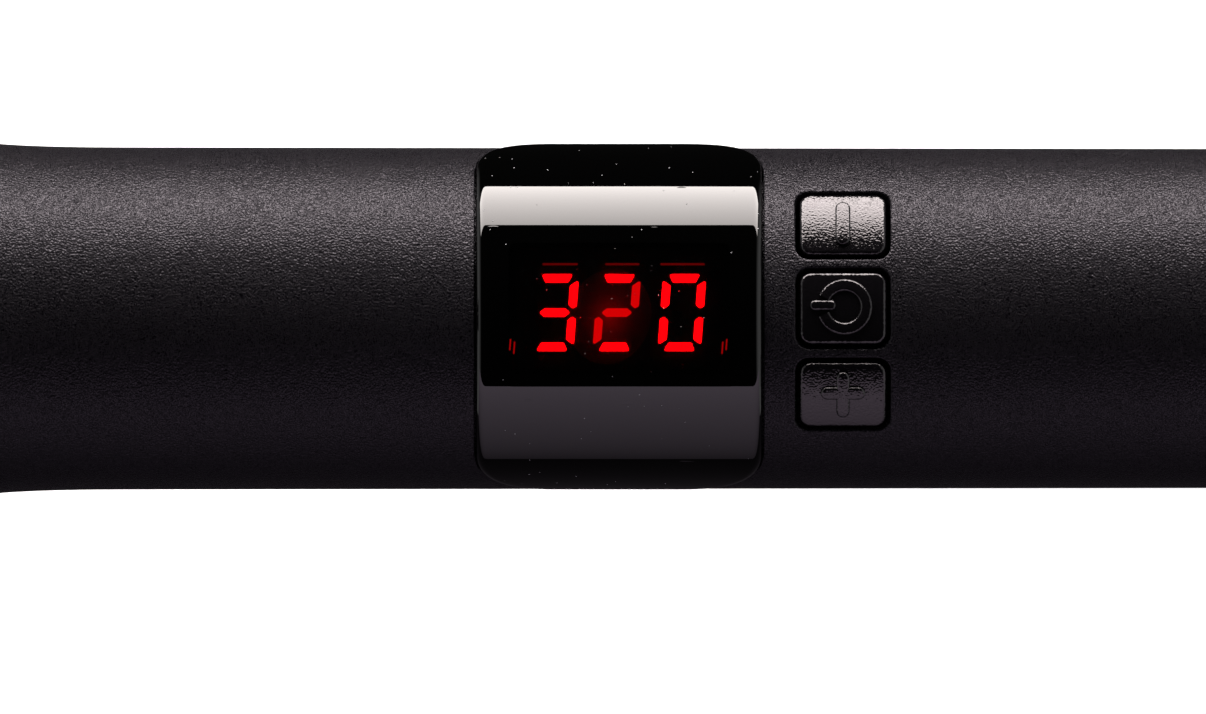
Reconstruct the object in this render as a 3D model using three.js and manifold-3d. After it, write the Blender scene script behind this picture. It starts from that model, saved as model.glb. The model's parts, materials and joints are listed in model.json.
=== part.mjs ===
// A curling iron with a digital display: handle shells, lens, keys and electronics, a swivelling cord gland,
// a heated barrel with its clamp, thumb lever and spring, and a folding rest stand.
//
// The iron is built lying along X in its own frame, then set down on its stand.
//   X runs from the rear of the handle (0) to the cool tip, Y is sideways, Z is the side that the display
//   faces.
// Millimetres. Angles around the handle are measured from +Z towards +Y.

import * as THREE from "three";
import { mergeVertices } from "three/addons/utils/BufferGeometryUtils.js";
import Module from "manifold-3d";

const wasm = await Module();
wasm.setup();

const RAD = Math.PI / 180;

// ---------------------------------------------------------------- driving dimensions

const REST_TILT = 6.5 * RAD; // how far the barrel points up when the iron rests on its stand
const ROUND = 40; // sides of a large round piece
const SMALL_ROUND = 12; // sides of a small one
const AIR = 0.3; // gap between pieces that touch

const HANDLE = {
  length: 150,
  radius: 16.93, // at the rear
  taper: 0.0014, // growth of the radius for each mm forwards
  flareFrom: 122, // where the front flare begins
  flare: 2.0, // how far it has grown at the front end
  rearRound: 4.7,
  bore: 14.7, // radius of the inside
  mouth: 14.8, // radius of the front opening
  rearHole: 7.6, // radius of the opening for the cord gland
};
const LENS = { at: 78, along: 14.25, around: 25.2, corner: 7.7, inner: 16.0, outer: 17.6 };
const LENS_SEAT = { gap: 0.2, floor: 15.7 };
const KEY = {
  at: 55.75,
  pitch: 30.7 * RAD, // angle from one key to the next
  along: 4.3,
  around: 3.65,
  corner: 1.2,
  inner: 15.0,
  outer: 17.15,
  gap: 0.45, // between a key and its opening
  flangeInner: 13.4,
  flangeOuter: 14.5,
  stem: 1.5, // radius of the post that reaches down to the switch
};
const BOARD = { from: 40, to: 102, half: 12, low: 3.0, high: 4.6, post: 2.6, pilot: 1.3, hole: 1.5 };
const SWITCH = { size: 6, high: 7.8, hole: 1.95, plunger: 1.65, plungerTop: 8.9 };
const DISPLAY = { along: 10.3, half: 6.0, high: 14.4 };
const SCREWS_AT = [26, 108, 134]; // handle screws, along the middle of the underside
const BOARD_SCREWS_AT = [43.5, 97];
const COLLAR = { from: 143.6, to: 167, flange: 15.4, flangeLong: 3, neck: 14.5, front: 14.4, bore: 13.0 };
const TIP_SCREW_AT = 318; // under the barrel, near its end
const BARREL = { from: 147, to: 322, radius: 12.7, wall: 0.8 };
const TIP = { to: 344, radius: 12.7, spigot: 11.5, wall: 1.6 };
const HINGE = { at: 176, high: 18.6, pin: 1.5, ear: 5.0, earThick: 1.2, half: 8.6 };
const CLAMP = { from: 188, to: 326, angle: 48 * RAD, inner: 13.1, thick: 0.7 };
const LEVER = { from: 141.5, to: 184, half: 8.5 };
const BAND = { from: 168.8, to: 186.4, inner: 12.95, outer: 13.9 }; // it carries the clamp and the stand
const STAND = { at: 181, low: -4, wire: 1.2, foot: { back: 6.8, low: -33.5 }, half: 17.6, end: 13.2 };
const SLEEVE = { half: 14, radius: 2.5, sole: 5.0 }; // on the stand's crossbar; the sole is its flat width
const STAND_STOP = { from: 176, to: 178, low: -10.2, high: -7.6 }; // tabs that the stand's legs lean on
const GLAND = {
  flange: 9.0,
  flangeFrom: 2.8,
  flangeTo: 6,
  neck: 7.2,
  shaft: 4.2,
  shaftTo: 20.8,
  rear: -20,
  rearRadius: 5.6,
  bore: 3.8,
};
const RINGS_AT = [12, 17];

// ---------------------------------------------------------------- materials

const paint = (color, roughness, metalness = 0) =>
  new THREE.MeshStandardMaterial({ color, roughness, metalness });
const GRIP_BLACK = paint(0x18171b, 0.55);
const LENS_BLACK = paint(0x060606, 0.05);
const KEY_BLACK = paint(0x141316, 0.3);
const HEAT_BLACK = paint(0x111114, 0.45);
const COATED = paint(0x2a2a2e, 0.3, 0.6);
const STEEL = paint(0xb9bcc0, 0.3, 1);
const BRASS = paint(0xc9a24a, 0.35, 1);
const ALUMINIUM = paint(0xc4c6c8, 0.4, 1);
const CERAMIC = paint(0xe8e2d4, 0.7);
const BOARD_GREEN = paint(0x1e5a35, 0.5);
const COMPONENT = paint(0x1b1b1d, 0.4);
const CAPACITOR = paint(0xc9a83a, 0.5);
const LED_FACE = paint(0x120405, 0.4);
const LEAD_WHITE = paint(0xd8d5cc, 0.7);
const LEAD_RED = paint(0xa02020, 0.6);
const SILICONE = paint(0x1c1c1e, 0.8);

// ---------------------------------------------------------------- solids

// A geometry's faces as a closed manifold-3d solid, turned the right way out.
function solid(geometry) {
  const bare = geometry.clone();
  bare.deleteAttribute("normal");
  bare.deleteAttribute("uv");
  const merged = mergeVertices(bare, 1e-4);
  const flat = merged.index.array;
  const triangles = [];
  for (let i = 0; i < flat.length; i += 3) {
    const [a, b, c] = [flat[i], flat[i + 1], flat[i + 2]];
    if (a !== b && b !== c && c !== a) triangles.push(a, b, c);
  }
  const build = (order) =>
    new wasm.Manifold(
      new wasm.Mesh({
        numProp: 3,
        vertProperties: new Float32Array(merged.attributes.position.array),
        triVerts: new Uint32Array(order),
      }),
    );
  const made = build(triangles);
  return made.volume() >= 0 ? made : build(triangles.reverse());
}

// A named mesh of one solid.
function piece(name, shape, material) {
  const mesh = shape.getMesh();
  const geometry = new THREE.BufferGeometry()
    .setAttribute("position", new THREE.BufferAttribute(new Float32Array(mesh.vertProperties), 3))
    .setIndex(new THREE.BufferAttribute(new Uint32Array(mesh.triVerts), 1));
  geometry.computeVertexNormals();
  const made = new THREE.Mesh(geometry, material);
  made.name = name;
  return made;
}

// A closed profile of [x, radius] points turned about the X axis.
function turned(profile, sides = ROUND) {
  const points = [...profile, profile[0]].map(([x, radius]) => new THREE.Vector2(radius, x));
  return solid(new THREE.LatheGeometry(points, sides).rotateZ(-Math.PI / 2).rotateX(Math.PI / sides));
}

// A round bar along X from x0 to x1.
const barAlongX = (x0, x1, radius, sides = SMALL_ROUND) =>
  turned([[x0, 0], [x0, radius], [x1, radius], [x1, 0]], sides);

function bar(axis, low, high, radius, [p, q], sides = SMALL_ROUND) {
  const made = new THREE.CylinderGeometry(radius, radius, high - low, sides);
  const middle = (low + high) / 2;
  if (axis === "z") made.rotateX(Math.PI / 2).translate(p, q, middle);
  else if (axis === "y") made.translate(p, middle, q);
  else made.rotateZ(Math.PI / 2).translate(middle, p, q);
  return solid(made);
}

// A span of distances on one side of the middle plane, 1 or -1.
const sideways = (side, near, far) => (side > 0 ? [near, far] : [-far, -near]);

function box([x0, x1], [y0, y1], [z0, z1]) {
  const made = new THREE.BoxGeometry(x1 - x0, y1 - y0, z1 - z0);
  return solid(made.translate((x0 + x1) / 2, (y0 + y1) / 2, (z0 + z1) / 2));
}

// A plate wrapped round the X axis: a rounded rectangle, `along` its half length on X and `around` its half
// width along the arc at the outer radius, between two radii.
function wrapped({ at, along, around, corner, inner, outer }, centre = 0) {
  const step = (2 * Math.PI) / ROUND;
  const cornerSteps = 3;
  const rows = []; // [arc, half length] from the middle to the edge
  const straight = around - corner;
  const middleSteps = Math.max(1, Math.ceil(straight / outer / step));
  for (let i = 0; i < middleSteps; i++) rows.push([(straight * i) / middleSteps, along]);
  for (let i = 0; i <= cornerSteps; i++) {
    const a = (i / cornerSteps) * (Math.PI / 2);
    rows.push([straight + corner * Math.sin(a), along - corner + corner * Math.cos(a)]);
  }
  const all = [...rows.slice(1).reverse().map(([arc, half]) => [-arc, half]), ...rows];
  const positions = [];
  for (const [arc, half] of all) {
    const angle = centre + arc / outer;
    const [y, z] = [Math.sin(angle), Math.cos(angle)];
    for (const [x, r] of [[at - half, inner], [at + half, inner], [at + half, outer], [at - half, outer]])
      positions.push(x, y * r, z * r);
  }
  const faces = [0, 1, 2, 0, 2, 3];
  const end = (all.length - 1) * 4;
  faces.push(end, end + 2, end + 1, end, end + 3, end + 2);
  for (let row = 0; row < all.length - 1; row++)
    for (let k = 0; k < 4; k++) {
      const [a, b] = [row * 4 + k, row * 4 + ((k + 1) % 4)];
      faces.push(a, a + 4, b, b, a + 4, b + 4);
    }
  const geometry = new THREE.BufferGeometry()
    .setAttribute("position", new THREE.Float32BufferAttribute(positions, 3))
    .setIndex(faces);
  return solid(geometry);
}

// A plate of the given outline in the XZ plane, between two Y values.
function sidePlate(outline, y0, y1) {
  const shape = new THREE.Shape(outline.map(([x, z]) => new THREE.Vector2(x, z)));
  const made = new THREE.ExtrudeGeometry(shape, { depth: y1 - y0, bevelEnabled: false });
  return solid(made.rotateX(Math.PI / 2).translate(0, y1, 0));
}

// A strip of sheet that follows [x, z] points, `thick` above them, between two Y values.
function bentStrip(points, thick, y0, y1) {
  const above = points.map(([x, z], i) => {
    const [a, b] = [points[Math.max(i - 1, 0)], points[Math.min(i + 1, points.length - 1)]];
    const length = Math.hypot(b[0] - a[0], b[1] - a[1]);
    return [x - ((b[1] - a[1]) / length) * thick, z + ((b[0] - a[0]) / length) * thick];
  });
  return sidePlate([...points, ...above.reverse()], y0, y1);
}

// A round bar along straight runs between the points, its corners rounded over `bend` on each side.
function wire(points, radius, bend, sides = 8) {
  const corners = points.map((p) => new THREE.Vector3(...p));
  const path = [corners[0]];
  for (let i = 1; i < corners.length - 1; i++) {
    const towards = (other) => {
      const way = other.clone().sub(corners[i]);
      return corners[i].clone().add(way.setLength(Math.min(bend, way.length() * 0.45)));
    };
    const [start, end] = [towards(corners[i - 1]), towards(corners[i + 1])];
    const curve = new THREE.QuadraticBezierCurve3(start, corners[i], end);
    path.push(...curve.getPoints(4));
  }
  path.push(corners.at(-1));
  const positions = [];
  const faces = [];
  const normal = new THREE.Vector3(1, 0.2, 0.1);
  path.forEach((point, row) => {
    const [before, after] = [path[Math.max(row - 1, 0)], path[Math.min(row + 1, path.length - 1)]];
    const along = after.clone().sub(before).normalize();
    normal.addScaledVector(along, -normal.dot(along)).normalize();
    const across = along.clone().cross(normal);
    for (let i = 0; i < sides; i++) {
      const a = (i / sides) * 2 * Math.PI;
      const spoke = normal.clone().multiplyScalar(Math.cos(a)).addScaledVector(across, Math.sin(a));
      positions.push(...point.clone().addScaledVector(spoke, radius));
    }
  });
  const last = (path.length - 1) * sides;
  for (let i = 0; i < sides; i++) {
    const next = (i + 1) % sides;
    for (let row = 0; row < last; row += sides)
      faces.push(row + i, row + next, row + sides + i, row + next, row + sides + next, row + sides + i);
    if (i > 1) faces.push(0, i, i - 1, last, last + i - 1, last + i);
  }
  const geometry = new THREE.BufferGeometry()
    .setAttribute("position", new THREE.Float32BufferAttribute(positions, 3))
    .setIndex(faces);
  return solid(geometry);
}

const joined = (...shapes) => shapes.reduce((a, b) => a.add(b));
const cut = (shape, ...tools) => tools.reduce((a, b) => a.subtract(b), shape);

// ---------------------------------------------------------------- handle

function handleRadius(x) {
  const flare = Math.max(0, (x - HANDLE.flareFrom) / (HANDLE.length - HANDLE.flareFrom)) ** 4;
  return HANDLE.radius + HANDLE.taper * x + HANDLE.flare * flare;
}

// The handle's wall as a full ring, from which both shells are cut. Inside it has a bearing rib for the cord
// gland at the rear and a groove that holds the collar's flange at the front.
function handleWall() {
  const { length, rearRound, bore, mouth, rearHole } = HANDLE;
  const profile = [[0, rearHole]];
  const roundSteps = 3;
  for (let i = 0; i <= roundSteps; i++) {
    const a = (i / roundSteps) * (Math.PI / 2);
    const centre = handleRadius(rearRound) - rearRound;
    profile.push([rearRound - rearRound * Math.cos(a), centre + rearRound * Math.sin(a)]);
  }
  for (const x of [HANDLE.flareFrom, 134, 142]) profile.push([x, handleRadius(x)]);
  profile.push([length - 0.8, handleRadius(length - 0.8)]);
  profile.push([length, handleRadius(length) - 0.9], [length, mouth]);
  const groove = { from: COLLAR.from - AIR, to: COLLAR.from + COLLAR.flangeLong + AIR };
  groove.radius = COLLAR.flange + AIR;
  profile.push([groove.to, mouth], [groove.to, groove.radius]);
  profile.push([groove.from, groove.radius], [groove.from, bore]);
  const rib = { from: GLAND.flangeTo + AIR, to: GLAND.flangeTo + 2.2, hole: GLAND.shaft + 0.5 };
  const rearRoom = { from: GLAND.flangeFrom - AIR, radius: 12.6 };
  profile.push([rib.to, bore], [rib.to, rib.hole], [rib.from, rib.hole], [rib.from, rearRoom.radius]);
  profile.push([rearRoom.from, rearRoom.radius], [rearRoom.from, rearHole]);
  return turned(profile);
}

const upperHalf = () => box([-50, 200], [-40, 40], [0.06, 60]);
const lowerHalf = () => box([-50, 200], [-40, 40], [-60, -0.06]);

function keyOpening(centre) {
  const { at, along, around, corner, outer, gap } = KEY;
  const grown = { at, along: along + gap, around: around + gap, corner: corner + gap, inner: 12, outer };
  return wrapped({ ...grown, outer: outer + 3, around: ((around + gap) * (outer + 3)) / outer }, centre);
}

function upperShell() {
  const { gap, floor } = LENS_SEAT;
  const grown = { ...LENS, along: LENS.along + gap, corner: LENS.corner + gap, inner: floor };
  const seat = wrapped({ ...grown, outer: 19, around: ((LENS.around + gap) * 19) / LENS.outer });
  const { along, half, high } = DISPLAY;
  const window = box([LENS.at - along - 1, LENS.at + along + 1], [-half - 0.9, half + 0.9], [high - 4, 22]);
  const bosses = SCREWS_AT.map((x) => bar("z", 1, handleRadius(x) - 1, BOSS.upper, [x, 0]));
  const pilots = SCREWS_AT.map((x) => bar("z", 0, SCREW.top + 2, BOSS.pilot, [x, 0]));
  const openings = [-1, 0, 1].map((i) => keyOpening(i * KEY.pitch));
  return cut(joined(handleWall().intersect(upperHalf()), ...bosses), seat, window, ...pilots, ...openings);
}

const SCREW = { seat: -6, counterbore: 3.2, clearance: 1.75, head: 2.7, headHigh: 2.0, shank: 1.4, top: 8 };
const BOSS = { upper: 3.4, pilot: 1.7, lower: 4.6 }; // radii of the shells' screw bosses

function lowerShell() {
  const bosses = SCREWS_AT.map((x) => bar("z", -handleRadius(x) + 1, -0.6, BOSS.lower, [x, 0]));
  const post = (x) => bar("z", -handleRadius(x) + 1, BOARD.low - 0.1, BOARD.post, [x, 0]);
  const posts = BOARD_SCREWS_AT.map(post);
  const holes = SCREWS_AT.flatMap((x) => [
    bar("z", -25, SCREW.seat, SCREW.counterbore, [x, 0], 16),
    bar("z", -25, 5, SCREW.clearance, [x, 0]),
  ]);
  const pilots = BOARD_SCREWS_AT.map((x) => bar("z", BOARD.low - 8, BOARD.low + 1, BOARD.pilot, [x, 0]));
  return cut(joined(handleWall().intersect(lowerHalf()), ...bosses, ...posts), ...holes, ...pilots);
}

function handleScrew(x) {
  const { seat, head, headHigh, shank, top } = SCREW;
  const body = joined(
    bar("z", seat - 0.1 - headHigh, seat - 0.1, head, [x, 0]),
    bar("z", seat - 1, top, shank, [x, 0]),
  );
  const slots = [0, 1].map((turn) => {
    const [a, b] = turn ? [0.4, 1.6] : [1.6, 0.4];
    return box([x - a, x + a], [-b, b], [seat - 3, seat - headHigh + 0.7]);
  });
  return cut(body, ...slots);
}

// ---------------------------------------------------------------- display and keys

function ledDisplay() {
  const { along, half, high } = DISPLAY;
  return box([LENS.at - along, LENS.at + along], [-half, half], [BOARD.high + AIR, high]);
}

// Where a key's post and switch stand, sideways.
const keySide = (centre) => KEY.outer * Math.sin(centre);

function key(centre) {
  const { at, along, around, corner, inner, outer, gap, flangeInner, flangeOuter, stem } = KEY;
  const cap = wrapped({ at, along, around, corner, inner: flangeInner + 0.5, outer }, centre);
  const flange = wrapped(
    {
      at,
      along: along + gap + 1,
      around: ((around + gap + 0.3) * flangeOuter) / outer,
      corner,
      inner: flangeInner,
      outer: flangeOuter,
    },
    centre,
  );
  const top = Math.sqrt(inner ** 2 - (Math.abs(keySide(centre)) + stem) ** 2) - 0.5;
  const post = bar("z", SWITCH.plungerTop + 0.1, top, stem, [at, keySide(centre)], 12);
  return joined(cap, flange, post);
}

function tactSwitch(centre) {
  const { size, high, hole } = SWITCH;
  const y = keySide(centre);
  const around = (middle) => [middle - size / 2, middle + size / 2];
  const body = box(around(KEY.at), around(y), [BOARD.high + 0.1, high]);
  return cut(body, bar("z", BOARD.high + 1, high + 1, hole, [KEY.at, y], 12));
}

const plunger = (centre) =>
  bar("z", BOARD.high + 1.6, SWITCH.plungerTop, SWITCH.plunger, [KEY.at, keySide(centre)], 12);

function controlBoard() {
  const { from, to, half, low, high, hole } = BOARD;
  const holes = BOARD_SCREWS_AT.map((x) => bar("z", low - 1, high + 1, hole, [x, 0]));
  return cut(box([from, to], [-half, half], [low, high]), ...holes);
}

const boardScrew = (x) =>
  joined(
    bar("z", BOARD.high + 0.1, BOARD.high + 1.4, 2.2, [x, 0]),
    bar("z", BOARD.low - 6, BOARD.high + 1, 1.0, [x, 0], 12),
  );

// ---------------------------------------------------------------- swivelling cord gland

function gland() {
  const { flange, flangeFrom, flangeTo, neck, shaft, shaftTo, rear, rearRadius, bore } = GLAND;
  const profile = [[shaftTo, 0], [shaftTo, shaft], [flangeTo, shaft], [flangeTo, flange]];
  profile.push([flangeFrom, flange]);
  profile.push([flangeFrom, neck], [-0.6, neck], [-0.6, 9.6], [-2, 10], [-6, 8.6], [-11, 6.7]);
  profile.push([rear + 0.8, rearRadius], [rear, rearRadius - 0.6], [rear, bore], [-4, bore], [-4, 0]);
  return turned(profile, 20);
}

const slipRing = (x) =>
  turned([[x, GLAND.shaft + 0.15], [x, 5.4], [x + 2.6, 5.4], [x + 2.6, GLAND.shaft + 0.15]], 16);

// A leaf that bears on a slip ring from one side and runs forwards to its lead.
function brush(x, side) {
  const leaf = (x0, x1, y0, y1) => box([x0, x1], sideways(side, y0, y1), [-1.2, 1.2]);
  return joined(leaf(x + 0.4, x + 2.2, 5.7, 6.6), leaf(x + 0.4, 30, 6.3, 6.9));
}

// From a brush to the board.
const mainsLead = (side) =>
  wire(
    [[30.5, side * 6.6, 0], [34.5, side * 7.4, 0.4], [37.6, side * 9.2, 3.8], [39.6, side * 9.2, 3.8]],
    0.9, 1.5, 6,
  );

// ---------------------------------------------------------------- barrel and heater

function frontCollar() {
  const { from, to, flange, flangeLong, neck, front, bore } = COLLAR;
  const shoulder = HANDLE.length + AIR;
  const profile = [[from, bore], [from, flange], [from + flangeLong, flange], [from + flangeLong, neck]];
  profile.push([shoulder, neck], [shoulder, 16.2], [shoulder + 0.9, 16.9], [163, 16.2]);
  profile.push([to - 0.8, front + 0.5], [to, front], [to, bore]);
  return turned(profile);
}

function barrel() {
  const { from, to, radius, wall } = BARREL;
  const tube = turned([[from, radius - wall], [from, radius], [to, radius], [to, radius - wall]]);
  return cut(tube, bar("z", -16, -10, 1.35, [TIP_SCREW_AT, 0]));
}

// A hollow moulded cap: its spigot plugs the barrel and is open towards the handle.
function coolTip() {
  const { to, radius, spigot, wall } = TIP;
  const shoulder = BARREL.to + AIR;
  const open = shoulder - 9;
  const profile = [[open, spigot - wall], [open, spigot], [shoulder, spigot], [shoulder, radius]];
  profile.push([to - 8, radius - 0.5], [to - 4, radius - 1.5], [to - 1.6, radius - 3.6]);
  profile.push([to, radius - 8], [to, 0]);
  profile.push([to - 2.4, 0], [to - 2.4, radius - 8], [to - 8, spigot - wall - 1]);
  return cut(turned(profile, 24), bar("z", -12.5, -5, 1.4, [TIP_SCREW_AT, 0]));
}

const tipScrew = () =>
  joined(bar("z", -13.4, -12.85, 2.0, [TIP_SCREW_AT, 0]), bar("z", -13, -9, 1.05, [TIP_SCREW_AT, 0]));

// The heater is a flat ceramic plate between two half-round aluminium extrusions, pushed apart by a leaf
// spring.
const HEATER = { from: 205, to: 290, half: 5, low: -0.3, high: 0.9 };
const SPREADER = { over: 6, radius: 11.5, wall: 1.3 };

function spreader(side) {
  const { from, to, low, high } = HEATER;
  const { over, radius, wall } = SPREADER;
  const [x0, x1] = [from - over, to + over];
  const web = side > 0 ? high + AIR : -low + 1.3;
  const half = (grown) => box([x0 - 5, x1 + 5], [-20, 20], sideways(side, web + grown, 20));
  const outside = barAlongX(x0, x1, radius, ROUND).intersect(half(0));
  const inside = barAlongX(x0 - 2, x1 + 2, radius - wall, ROUND).intersect(half(wall));
  return cut(outside, inside);
}

const heaterPlate = () => {
  const { from, to, half, low, high } = HEATER;
  return box([from, to], [-half, half], [low, high]);
};

const heaterSpring = () =>
  box([HEATER.from + 5, HEATER.to - 5], [-4, 4], [HEATER.low - 1.1, HEATER.low - 0.6]);

// ---------------------------------------------------------------- clamp

// A steel band riveted round the barrel: ears for the clamp's pin on top, and a socket and a stop tab for
// each leg of the stand at the sides.
function hingeBand() {
  const { from, to, inner, outer } = BAND;
  const ring = turned([[from, inner], [from, outer], [to, outer], [to, inner]]);
  const half = [[6, 12], [4.6, 15.5], [2.8, 20.4], [1.2, 21.4]];
  const outline = [...half, ...half.map(([x, z]) => [-x, z]).reverse()];
  const ears = [-1, 1].map((side) =>
    sidePlate(
      outline.map(([x, z]) => [HINGE.at + x, z]),
      ...sideways(side, HINGE.ear, HINGE.ear + HINGE.earThick),
    ),
  );
  const pair = (make) => [-1, 1].map(make);
  const bosses = pair((side) => bar("y", ...sideways(side, 11, 15.4), 3, [STAND.at, STAND.low], 16));
  const { from: tabFrom, to: tabTo, low, high } = STAND_STOP;
  const tabs = pair((side) => box([tabFrom, tabTo], sideways(side, 9, STAND.half + 0.8), [low, high]));
  const core = barAlongX(from - 1, to + 1, inner, ROUND);
  const pinHole = bar("y", -8, 8, HINGE.pin + AIR, [HINGE.at, HINGE.high]);
  const sockets = pair((side) => bar("y", ...sideways(side, 8, 20), STAND.wire + AIR, [STAND.at, STAND.low]));
  const rivetHoles = BAND_RIVETS_AT.map((x) => bar("z", 12, 16, RIVET.hole, [x, 0]));
  return cut(joined(ring, ...ears, ...bosses, ...tabs), core, pinHole, ...sockets, ...rivetHoles);
}

const BAND_RIVETS_AT = [170.9, 184.2];
const CLAMP_RIVETS_AT = [193, 201];
const RIVET = { head: 1.7, headHigh: 0.8, shank: 0.8, hole: 1.0 };

// A rivet along Z, from its foot up to a head that stands on its seat.
const rivet = (x, foot, seat) =>
  joined(
    bar("z", seat, seat + RIVET.headHigh, RIVET.head, [x, 0], 12),
    bar("z", foot, seat + 0.4, RIVET.shank, [x, 0], 12),
  );
const bandRivet = (x) => rivet(x, 12.75, 14.2);
const clampRivet = (x) => rivet(x, 13.3, 15.5);

function hingePin() {
  const { at, high, pin, half } = HINGE;
  const heads = [[-half - 0.9, -half], [half, half + 0.9]].map(([a, b]) => bar("y", a, b, 2.3, [at, high]));
  return joined(bar("y", -half - 0.5, half + 0.5, pin, [at, high]), ...heads);
}

// The torsion spring: its coil round the pin, one leg on the barrel's saddle and one under the bracket.
function clampSpring() {
  const { at, high } = HINGE;
  const coil = cut(bar("y", -4.2, 4.2, 3.4, [at, high], 24), bar("y", -5, 5, 2.1, [at, high]));
  const lowLeg = box([at, at + 7.4], [-4.1, -2.9], [high - 3.3, high - 2.1]);
  const highLeg = box([at - 13, at], [2.9, 4.1], [high + 2.1, high + 3.3]);
  return joined(coil, lowLeg, highLeg);
}

function clampPlate() {
  const { from, to, angle, inner, thick } = CLAMP;
  const half = (to - from) / 2;
  const plate = wrapped({
    at: (from + to) / 2,
    along: half,
    around: angle * (inner + thick),
    corner: 8,
    inner,
    outer: inner + thick,
  });
  return cut(plate, ...CLAMP_RIVETS_AT.map((x) => bar("z", 12, 16, RIVET.hole, [x, 0], 12)));
}

// Bent sheet that carries the clamp plate in front of the pin and the thumb lever behind it.
function clampBracket() {
  const { at, high, pin } = HINGE;
  const under = [
    [158, 25.4], [168, 23.6], [180, 22.9], [184, 20.4], [188.5, 14.5], [190, 14.3], [205, 14.3],
  ];
  const strip = bentStrip(under, 1.0, -6, 6);
  const wide = bentStrip(under.slice(1, 4), 1.0, -8, 8);
  const cheekOutline = [[168.4, 24.2], [170.5, 17.5], [174, 15.6], [178, 15.6]];
  cheekOutline.push([181.5, 18.5], [183.4, 21.6], [180.4, 23.6]);
  const cheeks = [[6.9, 8.0], [-8.0, -6.9]].map(([y0, y1]) => sidePlate(cheekOutline, y0, y1));
  const holes = CLAMP_RIVETS_AT.map((x) => bar("z", 12, 17, RIVET.hole, [x, 0], 12));
  const pinHole = bar("y", -12, 12, pin + AIR, [at, high]);
  const screwHole = bar("z", 20, 27, 1.2, [LEVER_SCREW_AT, 0], 12);
  return cut(joined(strip, wide, ...cheeks), pinHole, ...holes, screwHole);
}

const LEVER_SCREW_AT = 163;

// Moulded thumb lever, dished on top, over the rear of the bracket.
function thumbLever() {
  const { from, to, half } = LEVER;
  const top = [[from, 32.4], [from + 1, 33.6], [from + 4, 34.2], [from + 9, 32.9], [from + 15, 31.2]];
  top.push([from + 22, 29.6], [from + 30, 28.2], [from + 37, 27.0], [to - 2.4, 26.0], [to, 24.6]);
  const under = [[to, 24.2], [168, 24.95], [158, 26.75], [from + 4, 30.6], [from, 31.6]];
  const side = sidePlate([...top, ...under], -half, half);
  const plan = new THREE.Shape();
  const round = 7;
  plan.moveTo(to, -half + 1).lineTo(to, half - 1).lineTo(to - 1, half).lineTo(from + round, half);
  plan.absellipse(from + round, half - round, round, round, Math.PI / 2, Math.PI, false);
  plan.absellipse(from + round, -half + round, round, round, Math.PI, Math.PI * 1.5, false);
  plan.lineTo(to - 1, -half);
  const deep = { depth: 40, bevelEnabled: false, curveSegments: 5 };
  const outline = solid(new THREE.ExtrudeGeometry(plan, deep));
  const pocket = bar("z", 24, 27.6, 2.6, [LEVER_SCREW_AT, 0]);
  return cut(side.intersect(outline), pocket);
}

const leverScrew = () =>
  joined(
    bar("z", 22.2, 24.0, 2.1, [LEVER_SCREW_AT, 0], 12),
    bar("z", 23, 27.3, 0.85, [LEVER_SCREW_AT, 0], 12),
  );

// ---------------------------------------------------------------- stand

// One bent wire: in at a socket, down one side, across under the barrel and up the other side.
function standWire() {
  const { at, low, wire: radius, foot, half, end } = STAND;
  const side = (y) => [
    [at, y * end, low],
    [at, y * (half - 0.6), low],
    [at - foot.back, y * half, foot.low],
  ];
  return wire([...side(1), ...side(-1).reverse()], radius, 3);
}

// A silicone sleeve on the crossbar, with a sole that lies flat on the table.
function standSleeve(table) {
  const { at, wire, foot } = STAND;
  const { half, radius, sole: wide } = SLEEVE;
  const footX = at - foot.back;
  const tall = 3.2;
  const body = bar("y", -half, half, radius, [footX, foot.low], 20);
  const turnedSole = new THREE.BoxGeometry(wide, 2 * half, tall).translate(0, 0, tall / 2).rotateY(REST_TILT);
  const middle = new THREE.Vector3(footX, 0, foot.low).applyAxisAngle(new THREE.Vector3(0, 1, 0), -REST_TILT);
  const level = new THREE.Vector3(middle.x, 0, table).applyAxisAngle(new THREE.Vector3(0, 1, 0), REST_TILT);
  const block = solid(turnedSole.translate(level.x, 0, level.z));
  return cut(joined(body, block), bar("y", -half - 1, half + 1, wire + 0.15, [footX, foot.low], 16));
}

// ---------------------------------------------------------------- leads to the barrel

const heaterLead = (side) => {
  const route = [
    [102.6, 8, 3.8], [106, 8, 3.8], [112, 7, 0.4], [150, 6, 0], [196, 3.2, 0.3], [204.4, 3.2, 0.3],
  ];
  return wire(route.map(([x, y, z]) => [x, side * y, z]), 0.9, 4, 6);
};

const sensorLead = () =>
  wire(
    [[102.6, -4, 3.8], [105, -4.6, 4.6], [112, -6, 5.6], [150, -4, 4.6], [181, 0, 0], [189.4, 0, 0]],
    0.7, 4, 6,
  );

// ---------------------------------------------------------------- assembly

const iron = new THREE.Group(); // lies along X
iron.rotation.y = -REST_TILT;

const lowerHandle = piece("lower_shell", lowerShell(), GRIP_BLACK);
iron.add(piece("upper_shell", upperShell(), GRIP_BLACK), lowerHandle);
SCREWS_AT.forEach((x, i) => iron.add(piece(`handle_screw_${i + 1}`, handleScrew(x), STEEL)));

iron.add(piece("display_lens", wrapped(LENS), LENS_BLACK), piece("led_display", ledDisplay(), LED_FACE));
iron.add(piece("control_board", controlBoard(), BOARD_GREEN));
BOARD_SCREWS_AT.forEach((x, i) => iron.add(piece(`board_screw_${i + 1}`, boardScrew(x), STEEL)));
["minus", "power", "plus"].forEach((name, i) => {
  const centre = (i - 1) * KEY.pitch;
  iron.add(piece(`${name}_key`, key(centre), KEY_BLACK));
  iron.add(piece(`${name}_plunger`, plunger(centre), COMPONENT));
  iron.add(piece(`${name}_switch`, tactSwitch(centre), STEEL));
});

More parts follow.
